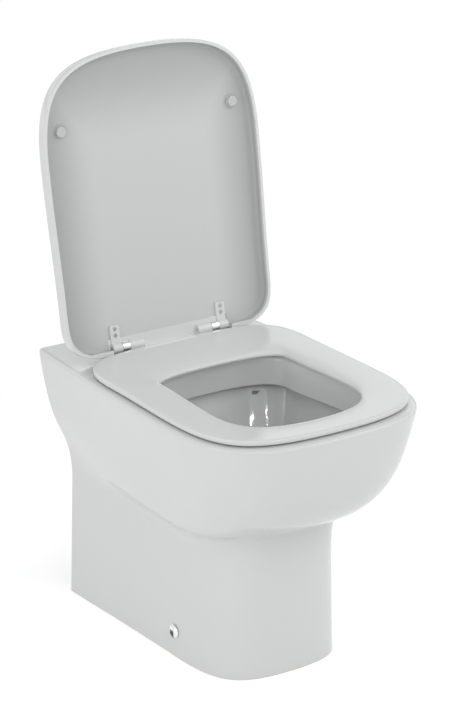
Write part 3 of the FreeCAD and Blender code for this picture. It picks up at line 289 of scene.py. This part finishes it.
def surface_relief_group():
    """Long waves and fine grain over a surface, as a normal."""
    group, start, end = new_group(
        "surface_relief",
        [("Place", VECTOR), ("Wave Scale", FLOAT), ("Wave Height", FLOAT),
         ("Grain Scale", FLOAT), ("Grain Height", FLOAT)],
        [("Normal", VECTOR)])
    links = group.links
    wave = add_node(group, "ShaderNodeTexNoise", WAVE_NOISE)
    grain = add_node(group, "ShaderNodeTexNoise", GRAIN_NOISE)
    tall_wave = add_node(group, "ShaderNodeMath", operation="MULTIPLY")
    tall_grain = add_node(group, "ShaderNodeMath", operation="MULTIPLY")
    total = add_node(group, "ShaderNodeMath", operation="ADD")
    bump = add_node(group, "ShaderNodeBump", {"Strength": 1.0, "Distance": 1.0})
    links.new(start.outputs["Place"], wave.inputs["Vector"])
    links.new(start.outputs["Place"], grain.inputs["Vector"])
    links.new(start.outputs["Wave Scale"], wave.inputs["Scale"])
    links.new(start.outputs["Grain Scale"], grain.inputs["Scale"])
    links.new(wave.outputs["Fac"], tall_wave.inputs[0])
    links.new(start.outputs["Wave Height"], tall_wave.inputs[1])
    links.new(grain.outputs["Fac"], tall_grain.inputs[0])
    links.new(start.outputs["Grain Height"], tall_grain.inputs[1])
    links.new(tall_wave.outputs[0], total.inputs[0])
    links.new(tall_grain.outputs[0], total.inputs[1])
    links.new(total.outputs[0], bump.inputs["Height"])
    links.new(bump.outputs["Normal"], end.inputs["Normal"])
    return group


def tone_drift_group():
    """A colour that drifts slightly towards another in soft clouds."""
    group, start, end = new_group(
        "tone_drift",
        [("Place", VECTOR), ("Color", COLOR), ("Drift Color", COLOR),
         ("Scale", FLOAT), ("Share", FLOAT)],
        [("Color", COLOR)])
    links = group.links
    cloud = add_node(group, "ShaderNodeTexNoise", CLOUD_NOISE)
    share = add_node(group, "ShaderNodeMath", operation="MULTIPLY")
    mix = add_node(group, "ShaderNodeMix", data_type="RGBA")
    links.new(start.outputs["Place"], cloud.inputs["Vector"])
    links.new(start.outputs["Scale"], cloud.inputs["Scale"])
    links.new(cloud.outputs["Fac"], share.inputs[0])
    links.new(start.outputs["Share"], share.inputs[1])
    links.new(share.outputs[0], mix.inputs["Factor"])
    links.new(start.outputs["Color"], mix.inputs["A"])
    links.new(start.outputs["Drift Color"], mix.inputs["B"])
    links.new(mix.outputs["Result"], end.inputs["Color"])
    return group


def gloss_drift_group():
    """A roughness that varies between two values in soft smudges."""
    group, start, end = new_group(
        "gloss_drift",
        [("Place", VECTOR), ("Smooth", FLOAT), ("Rough", FLOAT), ("Scale", FLOAT)],
        [("Roughness", FLOAT)])
    links = group.links
    smudge = add_node(group, "ShaderNodeTexNoise", SMUDGE_NOISE)
    spread = ranged(group, SMUDGE_SPREAD)
    links.new(start.outputs["Place"], smudge.inputs["Vector"])
    links.new(start.outputs["Scale"], smudge.inputs["Scale"])
    links.new(smudge.outputs["Fac"], spread.inputs["Value"])
    links.new(start.outputs["Smooth"], spread.inputs["To Min"])
    links.new(start.outputs["Rough"], spread.inputs["To Max"])
    links.new(spread.outputs["Result"], end.inputs["Roughness"])
    return group


SURFACE_RELIEF = surface_relief_group()
TONE_DRIFT = tone_drift_group()
GLOSS_DRIFT = gloss_drift_group()


def use_group(tree, group, place, **values):
    """A group's node in a material, fed with the place on the surface."""
    made = tree.nodes.new("ShaderNodeGroup")
    made.node_tree = group
    for name, value in values.items():
        made.inputs[name.replace("_", " ")].default_value = value
    tree.links.new(place, made.inputs["Place"])
    return made


def start_material(name, **values):
    """A material with a Principled shader, and the place on the piece that its textures read."""
    material = bpy.data.materials.new(name)
    material.use_nodes = True
    tree = material.node_tree
    shader = next(n for n in tree.nodes if n.type == "BSDF_PRINCIPLED")
    for label, value in values.items():
        shader.inputs[label.replace("_", " ")].default_value = value
    place = tree.nodes.new("ShaderNodeTexCoord").outputs["Object"]
    return material, tree, shader, place


def dress(tree, shader, place, color, drift_color, tone, gloss, relief):
    """Feeds a shader's colour, roughness and normal from the three shared groups."""
    toned = use_group(tree, TONE_DRIFT, place, Color=color, Drift_Color=drift_color, **tone)
    glossed = use_group(tree, GLOSS_DRIFT, place, **gloss)
    relieved = use_group(tree, SURFACE_RELIEF, place, **relief)
    tree.links.new(toned.outputs["Color"], shader.inputs["Base Color"])
    tree.links.new(glossed.outputs["Roughness"], shader.inputs["Roughness"])
    tree.links.new(relieved.outputs["Normal"], shader.inputs["Normal"])
    return toned, glossed


def glazed_ceramic():
    """White glaze over a slightly uneven cast body, bare and sandy at the foot and at the wall."""
    material, tree, shader, place = start_material("glazed_ceramic", IOR=GLAZE_IOR)
    toned, glossed = dress(tree, shader, place, **GLAZE)
    split = add_node(tree, "ShaderNodeSeparateXYZ")
    foot = add_node(tree, "ShaderNodeMath", {1: FOOT_BARE_HEIGHT}, operation="LESS_THAN")
    rear = add_node(tree, "ShaderNodeMath", {1: REAR_BARE_PLACE}, operation="GREATER_THAN")
    bare = add_node(tree, "ShaderNodeMath", operation="MAXIMUM")
    sand = add_node(tree, "ShaderNodeTexNoise", SAND_NOISE)
    clay = add_node(tree, "ShaderNodeMix", {"A": CLAY_DARK, "B": CLAY_PALE}, data_type="RGBA")
    color = add_node(tree, "ShaderNodeMix", data_type="RGBA")
    matt = add_node(tree, "ShaderNodeMapRange", {"To Max": CLAY_ROUGHNESS})
    tree.links.new(place, split.inputs[0])
    tree.links.new(split.outputs["Z"], foot.inputs[0])
    tree.links.new(split.outputs["Y"], rear.inputs[0])
    tree.links.new(foot.outputs[0], bare.inputs[0])
    tree.links.new(rear.outputs[0], bare.inputs[1])
    tree.links.new(place, sand.inputs["Vector"])
    tree.links.new(sand.outputs["Fac"], clay.inputs["Factor"])
    tree.links.new(bare.outputs[0], color.inputs["Factor"])
    tree.links.new(toned.outputs["Color"], color.inputs["A"])
    tree.links.new(clay.outputs["Result"], color.inputs["B"])
    tree.links.new(color.outputs["Result"], shader.inputs["Base Color"])
    tree.links.new(bare.outputs[0], matt.inputs["Value"])
    tree.links.new(glossed.outputs["Roughness"], matt.inputs["To Min"])
    tree.links.new(matt.outputs["Result"], shader.inputs["Roughness"])
    return material


def plain_finish(name, ior, values):
    """A finish that the three shared groups give in full."""
    material, tree, shader, place = start_material(name, IOR=ior)
    dress(tree, shader, place, **values)
    return material


def painted_plate_shade(tree, place, from_hinge):
    """How far painted shade deepens the lid's plate: towards its sides and end, and round the pads."""
    corners = nodes["lid_bumper_left"].bound_box
    pad = sum((Vector(corner) for corner in corners), Vector()) / len(corners)
    pad_spot = (abs(pad.x), (pad - hinge_point).dot(lid_along), 0.0)
    split = add_node(tree, "ShaderNodeSeparateXYZ")
    aside = add_node(tree, "ShaderNodeMath", operation="ABSOLUTE")
    along = add_node(tree, "ShaderNodeVectorMath", {1: lid_along}, operation="DOT_PRODUCT")
    spot = add_node(tree, "ShaderNodeCombineXYZ")
    from_pad = add_node(tree, "ShaderNodeVectorMath", {1: pad_spot}, operation="DISTANCE")
    links = tree.links
    links.new(place, split.inputs[0])
    links.new(split.outputs["X"], aside.inputs[0])
    links.new(from_hinge.outputs["Vector"], along.inputs[0])
    links.new(aside.outputs[0], spot.inputs["X"])
    links.new(along.outputs["Value"], spot.inputs["Y"])
    links.new(spot.outputs[0], from_pad.inputs[0])
    shade = None
    for value, limits in ((aside.outputs[0], SIDE_PAINTED_SHADE), (along.outputs["Value"], END_PAINTED_SHADE),
                          (from_pad.outputs["Value"], PAD_PAINTED_SHADE)):
        part = ranged(tree, limits, interpolation_type="SMOOTHSTEP")
        links.new(value, part.inputs["Value"])
        if shade is None:
            shade = part.outputs["Result"]
            continue
        both = add_node(tree, "ShaderNodeMath", operation="MAXIMUM")
        links.new(shade, both.inputs[0])
        links.new(part.outputs["Result"], both.inputs[1])
        shade = both.outputs[0]
    return shade


def lid_plastic():
    """The seat's plastic, with a darker satin plate inside the lid's rim, whose tone painted shade deepens on the
    rim's inner wall, towards the plate's sides and end, and round the pads.
    """
    material, tree, shader, place = start_material("lid_plastic", IOR=SEAT_IOR)
    toned, glossed = dress(tree, shader, place, **SEAT_FINISH)
    satin = use_group(tree, TONE_DRIFT, place, **PLATE_TONE)
    facing = tree.nodes.new("ShaderNodeTexCoord").outputs["Normal"]
    inwards = add_node(tree, "ShaderNodeVectorMath", {1: lid_down}, operation="DOT_PRODUCT")
    from_hinge = add_node(tree, "ShaderNodeVectorMath", {1: hinge_point}, operation="SUBTRACT")
    depth = add_node(tree, "ShaderNodeVectorMath", {1: lid_down}, operation="DOT_PRODUCT")
    within = ranged(tree, PLATE_DEPTHS)
    level = ranged(tree, PLATE_FACING)
    flat = add_node(tree, "ShaderNodeMath", operation="MAXIMUM")
    plate = add_node(tree, "ShaderNodeMath", operation="MULTIPLY")
    from_middle = add_node(tree, "ShaderNodeVectorMath",
                           {1: hinge_point + lid_along * PLATE_MIDDLE}, operation="SUBTRACT")
    outwards = add_node(tree, "ShaderNodeVectorMath", operation="DOT_PRODUCT")
    wall = ranged(tree, WALL_FACING)
    painted_shade_share = add_node(tree, "ShaderNodeMath", operation="MAXIMUM")
    # Painted shade: the plate's satin deepens to a darker tone on the rim's inner wall, towards the plate's sides
    # and end, and round the pads
    painted_shade_mix = add_node(tree, "ShaderNodeMix", {"B": PLATE_PAINTED_SHADE_TONE}, data_type="RGBA")
    color = add_node(tree, "ShaderNodeMix", data_type="RGBA")
    gloss = add_node(tree, "ShaderNodeMapRange", {"To Max": PLATE_ROUGHNESS})
    links = tree.links
    links.new(place, from_middle.inputs[0])
    links.new(from_middle.outputs["Vector"], outwards.inputs[0])
    links.new(facing, outwards.inputs[1])
    links.new(outwards.outputs["Value"], wall.inputs["Value"])
    links.new(level.outputs["Result"], flat.inputs[0])
    links.new(wall.outputs["Result"], flat.inputs[1])
    links.new(painted_plate_shade(tree, place, from_hinge), painted_shade_share.inputs[0])
    links.new(wall.outputs["Result"], painted_shade_share.inputs[1])
    links.new(painted_shade_share.outputs[0], painted_shade_mix.inputs["Factor"])
    links.new(satin.outputs["Color"], painted_shade_mix.inputs["A"])
    links.new(facing, inwards.inputs[0])
    links.new(place, from_hinge.inputs[0])
    links.new(from_hinge.outputs["Vector"], depth.inputs[0])
    links.new(depth.outputs["Value"], within.inputs["Value"])
    links.new(inwards.outputs["Value"], level.inputs["Value"])
    links.new(within.outputs["Result"], plate.inputs[0])
    links.new(flat.outputs[0], plate.inputs[1])
    links.new(plate.outputs[0], color.inputs["Factor"])
    links.new(toned.outputs["Color"], color.inputs["A"])
    links.new(painted_shade_mix.outputs["Result"], color.inputs["B"])
    links.new(color.outputs["Result"], shader.inputs["Base Color"])
    links.new(plate.outputs[0], gloss.inputs["Value"])
    links.new(glossed.outputs["Roughness"], gloss.inputs["To Min"])
    links.new(gloss.outputs["Result"], shader.inputs["Roughness"])
    return material


def chrome():
    """Polished chrome with the ghost of wiping marks, and a painted dark reflection where it looks down and
    outwards.
    """
    material, tree, shader, place = start_material("chrome", Metallic=1.0)
    toned, _ = dress(tree, shader, place, **POLISHED_CHROME)
    split = add_node(tree, "ShaderNodeSeparateXYZ")
    across = add_node(tree, "ShaderNodeMath", operation="ABSOLUTE")
    narrow = ranged(tree, PAINTED_REFLECTION_WIDTHS, interpolation_type="SMOOTHSTEP")
    lower = ranged(tree, PAINTED_REFLECTION_HEIGHTS, interpolation_type="SMOOTHSTEP")
    painted_reflection = add_node(tree, "ShaderNodeMath", operation="MULTIPLY")
    # Painted reflection: a dark band of colour where the surface looks down and outwards, standing for dark
    # surroundings mirrored in the chrome
    color = add_node(tree, "ShaderNodeMix", {"B": PAINTED_REFLECTION_TONE}, data_type="RGBA")
    links = tree.links
    links.new(tree.nodes.new("ShaderNodeTexCoord").outputs["Normal"], split.inputs[0])
    links.new(split.outputs["Y"], across.inputs[0])
    links.new(across.outputs[0], narrow.inputs["Value"])
    links.new(split.outputs["Z"], lower.inputs["Value"])
    links.new(narrow.outputs["Result"], painted_reflection.inputs[0])
    links.new(lower.outputs["Result"], painted_reflection.inputs[1])
    links.new(painted_reflection.outputs[0], color.inputs["Factor"])
    links.new(toned.outputs["Color"], color.inputs["A"])
    links.new(color.outputs["Result"], shader.inputs["Base Color"])
    return material


def brushed_steel():
    """Steel with fine turned lines."""
    material, tree, shader, place = start_material("brushed_steel", Metallic=1.0)
    stretch = add_node(tree, "ShaderNodeMapping", {"Scale": STEEL_STRETCH})
    tree.links.new(place, stretch.inputs["Vector"])
    dress(tree, shader, stretch.outputs["Vector"], **TURNED_STEEL)
    return material


FINISHES = {
    "ceramic": glazed_ceramic(),
    "seat_plastic": plain_finish("seat_plastic", SEAT_IOR, SEAT_FINISH),
    "bumper_rubber": plain_finish("bumper_rubber", RUBBER_IOR, MILKY_RUBBER),
    "seal_rubber": plain_finish("seal_rubber", RUBBER_IOR, BLACK_RUBBER),
    "chrome": chrome(),
    "steel": brushed_steel(),
    "fixing_plastic": plain_finish("fixing_plastic", PLASTIC_IOR, {**FIXING_COLORS, **MATT_PLASTIC}),
    "nut_plastic": plain_finish("nut_plastic", PLASTIC_IOR, {**NUT_COLORS, **MATT_PLASTIC}),
    "damper_plastic": plain_finish("damper_plastic", PLASTIC_IOR, {**DAMPER_COLORS, **MATT_PLASTIC}),
}
lid_finish = lid_plastic()

for node, piece in nodes.items():
    for slot in piece.material_slots:
        slot.material = FINISHES[slot_of[node]]
for slot in nodes["lid_shell"].material_slots:
    slot.material = lid_finish


# Small fittings in their real form, each where its plain solid stands

def loose_solids(node):
    """The separate solids of a node, as lists of their corners, in a fixed order."""
    mesh = nodes[node].data
    owner = {}

    def chief(key):
        while owner.setdefault(key, key) != key:
            key = owner[key]
        return key

    keys = [tuple(round(value * WELD_SCALE) for value in vertex.co) for vertex in mesh.vertices]
    for edge in mesh.edges:
        first, second = (chief(keys[corner]) for corner in edge.vertices)
        owner[first] = second
    solids = {}
    for vertex, key in zip(mesh.vertices, keys):
        solids.setdefault(chief(key), []).append(vertex.co.copy())
    return sorted(solids.values(), key=lambda corners: tuple(min(point[way] for point in corners)
                                                              for way in range(3)))


def stand(corners, axis, side):
    """How a solid stands: the turn and place of its lower end, its half sizes and its length."""
    axis = Vector(axis).normalized()
    side = Vector(side)
    side = (side - side.dot(axis) * axis).normalized()
    ways = (side, axis.cross(side), axis)
    spans = [(min(point.dot(way) for point in corners), max(point.dot(way) for point in corners))
             for way in ways]
    origin = sum((way * (low + high) / 2 for way, (low, high) in zip(ways[:2], spans[:2])),
                 axis * spans[2][0])
    base = Matrix.Identity(4)
    for column, way in enumerate((*ways, origin)):
        for row in range(3):
            base[row][column] = way[row]
    half_side, half_cross = ((high - low) / 2 for low, high in spans[:2])
    return base, half_side, half_cross, spans[2][1] - spans[2][0]


def add_rows(shape, rows, base, joined=False):
    """Faces between rows of points, with flat ends, or with the last row joined to the first."""
    rings = [[shape.verts.new(base @ Vector(point)) for point in row] for row in rows]
    pairs = list(zip(rings, rings[1:] + rings[:1]))
    for lower, upper in pairs if joined else pairs[:-1]:
        for step, corner in enumerate(lower):
            after = (step + 1) % len(lower)
            shape.faces.new((corner, lower[after], upper[after], upper[step]))
    if not joined:
        shape.faces.new(rings[0][::-1])
        shape.faces.new(rings[-1])


def round_row(radius, up):
    """A round row of points."""
    turns = [2 * math.pi * step / ROUND_STEPS for step in range(ROUND_STEPS)]
    return [(radius * math.cos(turn), radius * math.sin(turn), up) for turn in turns]


def oval_row(straight, radius, up):
    """A row of two half circles and the straight between them."""
    turns = [2 * math.pi * (step + 0.5) / ROUND_STEPS for step in range(ROUND_STEPS)]
    return [(radius * math.cos(turn) + math.copysign(straight / 2, math.cos(turn)),
             radius * math.sin(turn), up) for turn in turns]


def add_piece(name, shape, node):
    """Makes a piece that stands for a node and hides the node, with the finish of the node's slot, in the node's
    body.
    """
    bmesh.ops.recalc_face_normals(shape, faces=shape.faces)
    mesh = bpy.data.meshes.new(name)
    shape.to_mesh(mesh)
    shape.free()
    for face in mesh.polygons:
        face.use_smooth = True
    mesh.set_sharp_from_angle(angle=math.radians(SHARP_ANGLE))
    mesh.materials.append(FINISHES[slot_of[node]])
    piece = bpy.data.objects.new(name, mesh)
    bpy.context.scene.collection.objects.link(piece)
    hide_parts(node)
    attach(piece, body_of[node])


def turned_piece(name, node, axis, profile):
    """A turned piece from rows of radius and length shares."""
    shape = bmesh.new()
    for corners in loose_solids(node):
        base, radius, _, length = stand(corners, axis, SIDEWAYS if axis[0] == 0 else UPWARDS)
        add_rows(shape, [round_row(radius * wide, length * up) for wide, up in profile], base)
    add_piece(name, shape, node)


def oval_bumper(name, node):
    """An oval pad with a rolled edge, on its stem."""
    shape = bmesh.new()
    for corners in loose_solids(node):
        base, half_long, radius, length = stand(corners, DOWNWARDS, FORWARDS)
        straight = 2 * (half_long - radius)
        add_rows(shape, [oval_row(straight * share, radius * wide, length * up)
                         for share, wide, up in SEAT_BUMPER_ROWS], base)
    add_piece(name, shape, node)


def cross_turns():
    """Angles round a cross recess: its arms' middles and corners, and points between."""
    corner = math.atan2(CROSS_HALF_WIDTH, CROSS_LENGTH)
    quarter = (0.0, corner, (corner + math.pi / 4) / 2, math.pi / 4,
               math.pi / 2 - (corner + math.pi / 4) / 2, math.pi / 2 - corner)
    return [turn + math.pi / 2 * step for step in range(4) for turn in quarter]


def cross_row(share, up):
    """The outline of a cross recess, at a share of its size."""
    row = []
    for turn in cross_turns():
        wide, tall = abs(math.cos(turn)), abs(math.sin(turn))
        reach = max(min(half / max(wide, LEAST_DIVISOR), other / max(tall, LEAST_DIVISOR))
                    for half, other in ((CROSS_LENGTH, CROSS_HALF_WIDTH),
                                        (CROSS_HALF_WIDTH, CROSS_LENGTH)))
        row.append((share * reach * math.cos(turn), share * reach * math.sin(turn), up))
    return row


def countersunk_screws(name, node, head_way):
    """Countersunk screws with a cross recess in the head."""
    shape = bmesh.new()
    for corners in loose_solids(node):
        base, head, _, length = stand(corners, head_way, SIDEWAYS)
        shank, under = head * SHANK_SHARE, length - HEAD_HEIGHT
        profile = ((shank - SCREW_POINT, 0.0), (shank, SCREW_TIP), (shank, under),
                   (head, length - HEAD_EDGE), (head - HEAD_EDGE_INSET, length))
        rows = [[(radius * math.cos(turn), radius * math.sin(turn), up) for turn in cross_turns()]
                for radius, up in profile]
        rows += [cross_row(1.0, length), cross_row(CROSS_FLOOR_SHARE, length - CROSS_DEPTH)]
        add_rows(shape, rows, base)
    add_piece(name, shape, node)


def threaded_studs(name, node):
    """Round bars with a rolled thread from end to end."""
    shape = bmesh.new()
    for corners in loose_solids(node):
        base, radius, _, length = stand(corners, UPWARDS, SIDEWAYS)
        count = round(length / THREAD_PITCH * THREAD_ROWS)
        rows = []
        for line in range(count + 1):
            up = length * line / count
            end = min(up, length - up) / STUD_CHAMFER
            limit = radius * (CHAMFER_SHARE + (1 - CHAMFER_SHARE) * min(end, 1.0))
            row = []
            for step in range(THREAD_STEPS):
                turn = 2 * math.pi * step / THREAD_STEPS
                phase = (up / THREAD_PITCH - step / THREAD_STEPS) % 1.0
                reach = min(limit, radius * (1 - THREAD_DEPTH_SHARE * abs(2 * phase - 1)))
                row.append((reach * math.cos(turn), reach * math.sin(turn), up))
            rows.append(row)
        add_rows(shape, rows, base)
    add_piece(name, shape, node)


def wing_row(outwards, middle, tall, thick, sign):
    """A section of a nut's wing: a rounded oblong."""
    row = []
    for step in range(WING_STEPS):
        turn = 2 * math.pi * step / WING_STEPS
        cross = math.copysign(abs(math.cos(turn)) ** WING_CORNER_POWER, math.cos(turn))
        down = math.copysign(abs(math.sin(turn)) ** WING_CORNER_POWER, math.sin(turn))
        row.append((sign * outwards, thick * cross, middle + tall * down))
    return row


def wing_nuts(name, node):
    """Moulded nuts with two rounded wings."""
    shape = bmesh.new()
    for corners in loose_solids(node):
        base, _, radius, _ = stand(corners, DOWNWARDS, SIDEWAYS)
        add_rows(shape, [round_row(radius * wide, down) for wide, down in NUT_HUB_ROWS], base,
                 joined=True)
        for sign in (-1, 1):
            add_rows(shape, [wing_row(*row, sign) for row in NUT_WING_ROWS], base)
    add_piece(name, shape, node)


turned_piece("chrome_cap_left", "fixing_cap_left", (-1.0, 0.0, 0.0), CAP_ROWS)
turned_piece("chrome_cap_right", "fixing_cap_right", (1.0, 0.0, 0.0), CAP_ROWS)
turned_piece("lid_pad_left", "lid_bumper_left", lid_down, LID_BUMPER_ROWS)
turned_piece("lid_pad_right", "lid_bumper_right", lid_down, LID_BUMPER_ROWS)
for spot in ("front_left", "front_right", "rear_left", "rear_right"):
    oval_bumper(f"seat_pad_{spot}", f"seat_bumper_{spot}")
countersunk_screws("seat_arm_screws", "seat_screws", DOWNWARDS)
countersunk_screws("lid_arm_screws", "lid_screws", lid_down)
threaded_studs("threaded_studs", "hinge_studs")
wing_nuts("moulded_wing_nuts", "hinge_wing_nuts")


# Floor, world, lamps and camera

def camera_share(tree):
    """1 where the camera, a mirror or glass looks, and 0 where light bounces."""
    light_path = tree.nodes.new("ShaderNodeLightPath")
    seen = add_node(tree, "ShaderNodeMath", operation="MAXIMUM")
    any_seen = add_node(tree, "ShaderNodeMath", operation="MAXIMUM")
    tree.links.new(light_path.outputs["Is Camera Ray"], seen.inputs[0])
    tree.links.new(light_path.outputs["Is Glossy Ray"], seen.inputs[1])
    tree.links.new(seen.outputs[0], any_seen.inputs[0])
    tree.links.new(light_path.outputs["Is Transmission Ray"], any_seen.inputs[1])
    return any_seen.outputs[0]


def set_world():
    """A grey light, stronger from the sides than from above, that the camera sees as white
    and that mirrors see as pale panels."""
    world = bpy.data.worlds.new("studio")
    bpy.context.scene.world = world
    world.use_nodes = True
    tree = world.node_tree
    ambient = next(n for n in tree.nodes if n.type == "BACKGROUND")
    output = next(n for n in tree.nodes if n.type == "OUTPUT_WORLD")
    ambient.inputs["Color"].default_value = WORLD_TINT
    way = tree.nodes.new("ShaderNodeTexCoord").outputs["Generated"]
    split = add_node(tree, "ShaderNodeSeparateXYZ")
    level = ranged(tree, (0.0, ZENITH_START), {"To Min": HORIZON_LEVEL, "To Max": ZENITH_LEVEL},
                   interpolation_type="SMOOTHSTEP")
    white = add_node(tree, "ShaderNodeBackground", {"Color": WHITE})
    mix = tree.nodes.new("ShaderNodeMixShader")
    height = ranged(tree, (-1.0, 1.0))
    panels = add_node(tree, "ShaderNodeValToRGB")
    while len(panels.color_ramp.elements) < len(PANEL_STOPS):
        panels.color_ramp.elements.new(1.0)
    for stop, (share, tone) in zip(panels.color_ramp.elements, PANEL_STOPS):
        stop.position = share
        stop.color = (tone, tone, tone, 1.0)
    glossy = tree.nodes.new("ShaderNodeLightPath").outputs["Is Glossy Ray"]
    seen = add_node(tree, "ShaderNodeMapRange", {"To Min": 1.0})
    tree.links.new(split.outputs["Z"], height.inputs["Value"])
    tree.links.new(height.outputs["Result"], panels.inputs["Fac"])
    tree.links.new(glossy, seen.inputs["Value"])
    tree.links.new(panels.outputs["Color"], seen.inputs["To Max"])
    tree.links.new(seen.outputs["Result"], white.inputs["Strength"])
    tree.links.new(way, split.inputs[0])
    tree.links.new(split.outputs["Z"], level.inputs["Value"])
    tree.links.new(level.outputs["Result"], ambient.inputs["Strength"])
    tree.links.new(camera_share(tree), mix.inputs["Fac"])
    tree.links.new(ambient.outputs[0], mix.inputs[1])
    tree.links.new(white.outputs[0], mix.inputs[2])
    tree.links.new(mix.outputs[0], output.inputs["Surface"])


def floor_finish():
    """Pale and matt under the object, keeping its shadow, and white further out."""
    material = bpy.data.materials.new("pale_floor")
    material.use_nodes = True
    tree = material.node_tree
    tree.nodes.clear()
    output = tree.nodes.new("ShaderNodeOutputMaterial")
    paint = add_node(tree, "ShaderNodeBsdfDiffuse", {"Color": FLOOR_TONE})
    glow = add_node(tree, "ShaderNodeEmission", {"Color": WHITE})
    lit = tree.nodes.new("ShaderNodeAddShader")
    white = add_node(tree, "ShaderNodeEmission", {"Color": WHITE, "Strength": 1.0})
    place = tree.nodes.new("ShaderNodeTexCoord").outputs["Object"]
    reach = add_node(tree, "ShaderNodeVectorMath", operation="LENGTH")
    fade = ranged(tree, (FLOOR_RADIUS * FLOOR_FADE_SHARE, FLOOR_RADIUS),
                  interpolation_type="SMOOTHSTEP")
    seen = camera_share(tree)
    glow_level = add_node(tree, "ShaderNodeMath", {1: FLOOR_GLOW}, operation="MULTIPLY")
    white_share = add_node(tree, "ShaderNodeMath", operation="MULTIPLY")
    mix = tree.nodes.new("ShaderNodeMixShader")
    tree.links.new(place, reach.inputs[0])
    tree.links.new(reach.outputs["Value"], fade.inputs["Value"])
    tree.links.new(seen, glow_level.inputs[0])
    tree.links.new(glow_level.outputs[0], glow.inputs["Strength"])
    tree.links.new(fade.outputs["Result"], white_share.inputs[0])
    tree.links.new(seen, white_share.inputs[1])
    tree.links.new(paint.outputs[0], lit.inputs[0])
    tree.links.new(glow.outputs[0], lit.inputs[1])
    tree.links.new(white_share.outputs[0], mix.inputs["Fac"])
    tree.links.new(lit.outputs[0], mix.inputs[1])
    tree.links.new(white.outputs[0], mix.inputs[2])
    tree.links.new(mix.outputs[0], output.inputs["Surface"])
    return material


def add_floor():
    """A round floor at the foot's level."""
    mesh = bpy.data.meshes.new("floor")
    shape = bmesh.new()
    bmesh.ops.create_circle(shape, cap_ends=True, segments=FLOOR_STEPS, radius=FLOOR_RADIUS)
    shape.to_mesh(mesh)
    shape.free()
    floor = bpy.data.objects.new("floor", mesh)
    floor.location.z = FLOOR_LEVEL
    mesh.materials.append(floor_finish())
    bpy.context.scene.collection.objects.link(floor)


def add_lamp(name, place, aim, watts, width, height):
    """A soft rectangular lamp at a place, turned to a point."""
    lamp = bpy.data.lights.new(name, "AREA")
    lamp.shape = "RECTANGLE"
    lamp.size = width
    lamp.size_y = height
    lamp.energy = watts
    holder = bpy.data.objects.new(name, lamp)
    holder.location = place
    holder.rotation_euler = (Vector(aim) - Vector(place)).to_track_quat("-Z", "Y").to_euler()
    bpy.context.scene.collection.objects.link(holder)


def add_camera():
    """The photograph's camera."""
    turn, rise = math.radians(-CAMERA_TURN), math.radians(CAMERA_RISE)
    ahead = Vector((math.sin(turn) * math.cos(rise), math.cos(turn) * math.cos(rise),
                    -math.sin(rise)))
    data = bpy.data.cameras.new("camera")
    data.lens = CAMERA_LENS
    data.sensor_width = SENSOR_WIDTH
    data.clip_end = CLIP_END
    camera = bpy.data.objects.new("camera", data)
    camera.location = Vector(CAMERA_AIM) - CAMERA_DISTANCE * ahead
    camera.rotation_euler = ahead.to_track_quat("-Z", "Y").to_euler()
    bpy.context.scene.collection.objects.link(camera)
    bpy.context.scene.camera = camera


set_world()
add_floor()
for lamp_values in LAMPS:
    add_lamp(*lamp_values)
add_camera()
bpy.context.scene.view_settings.view_transform = "Standard"
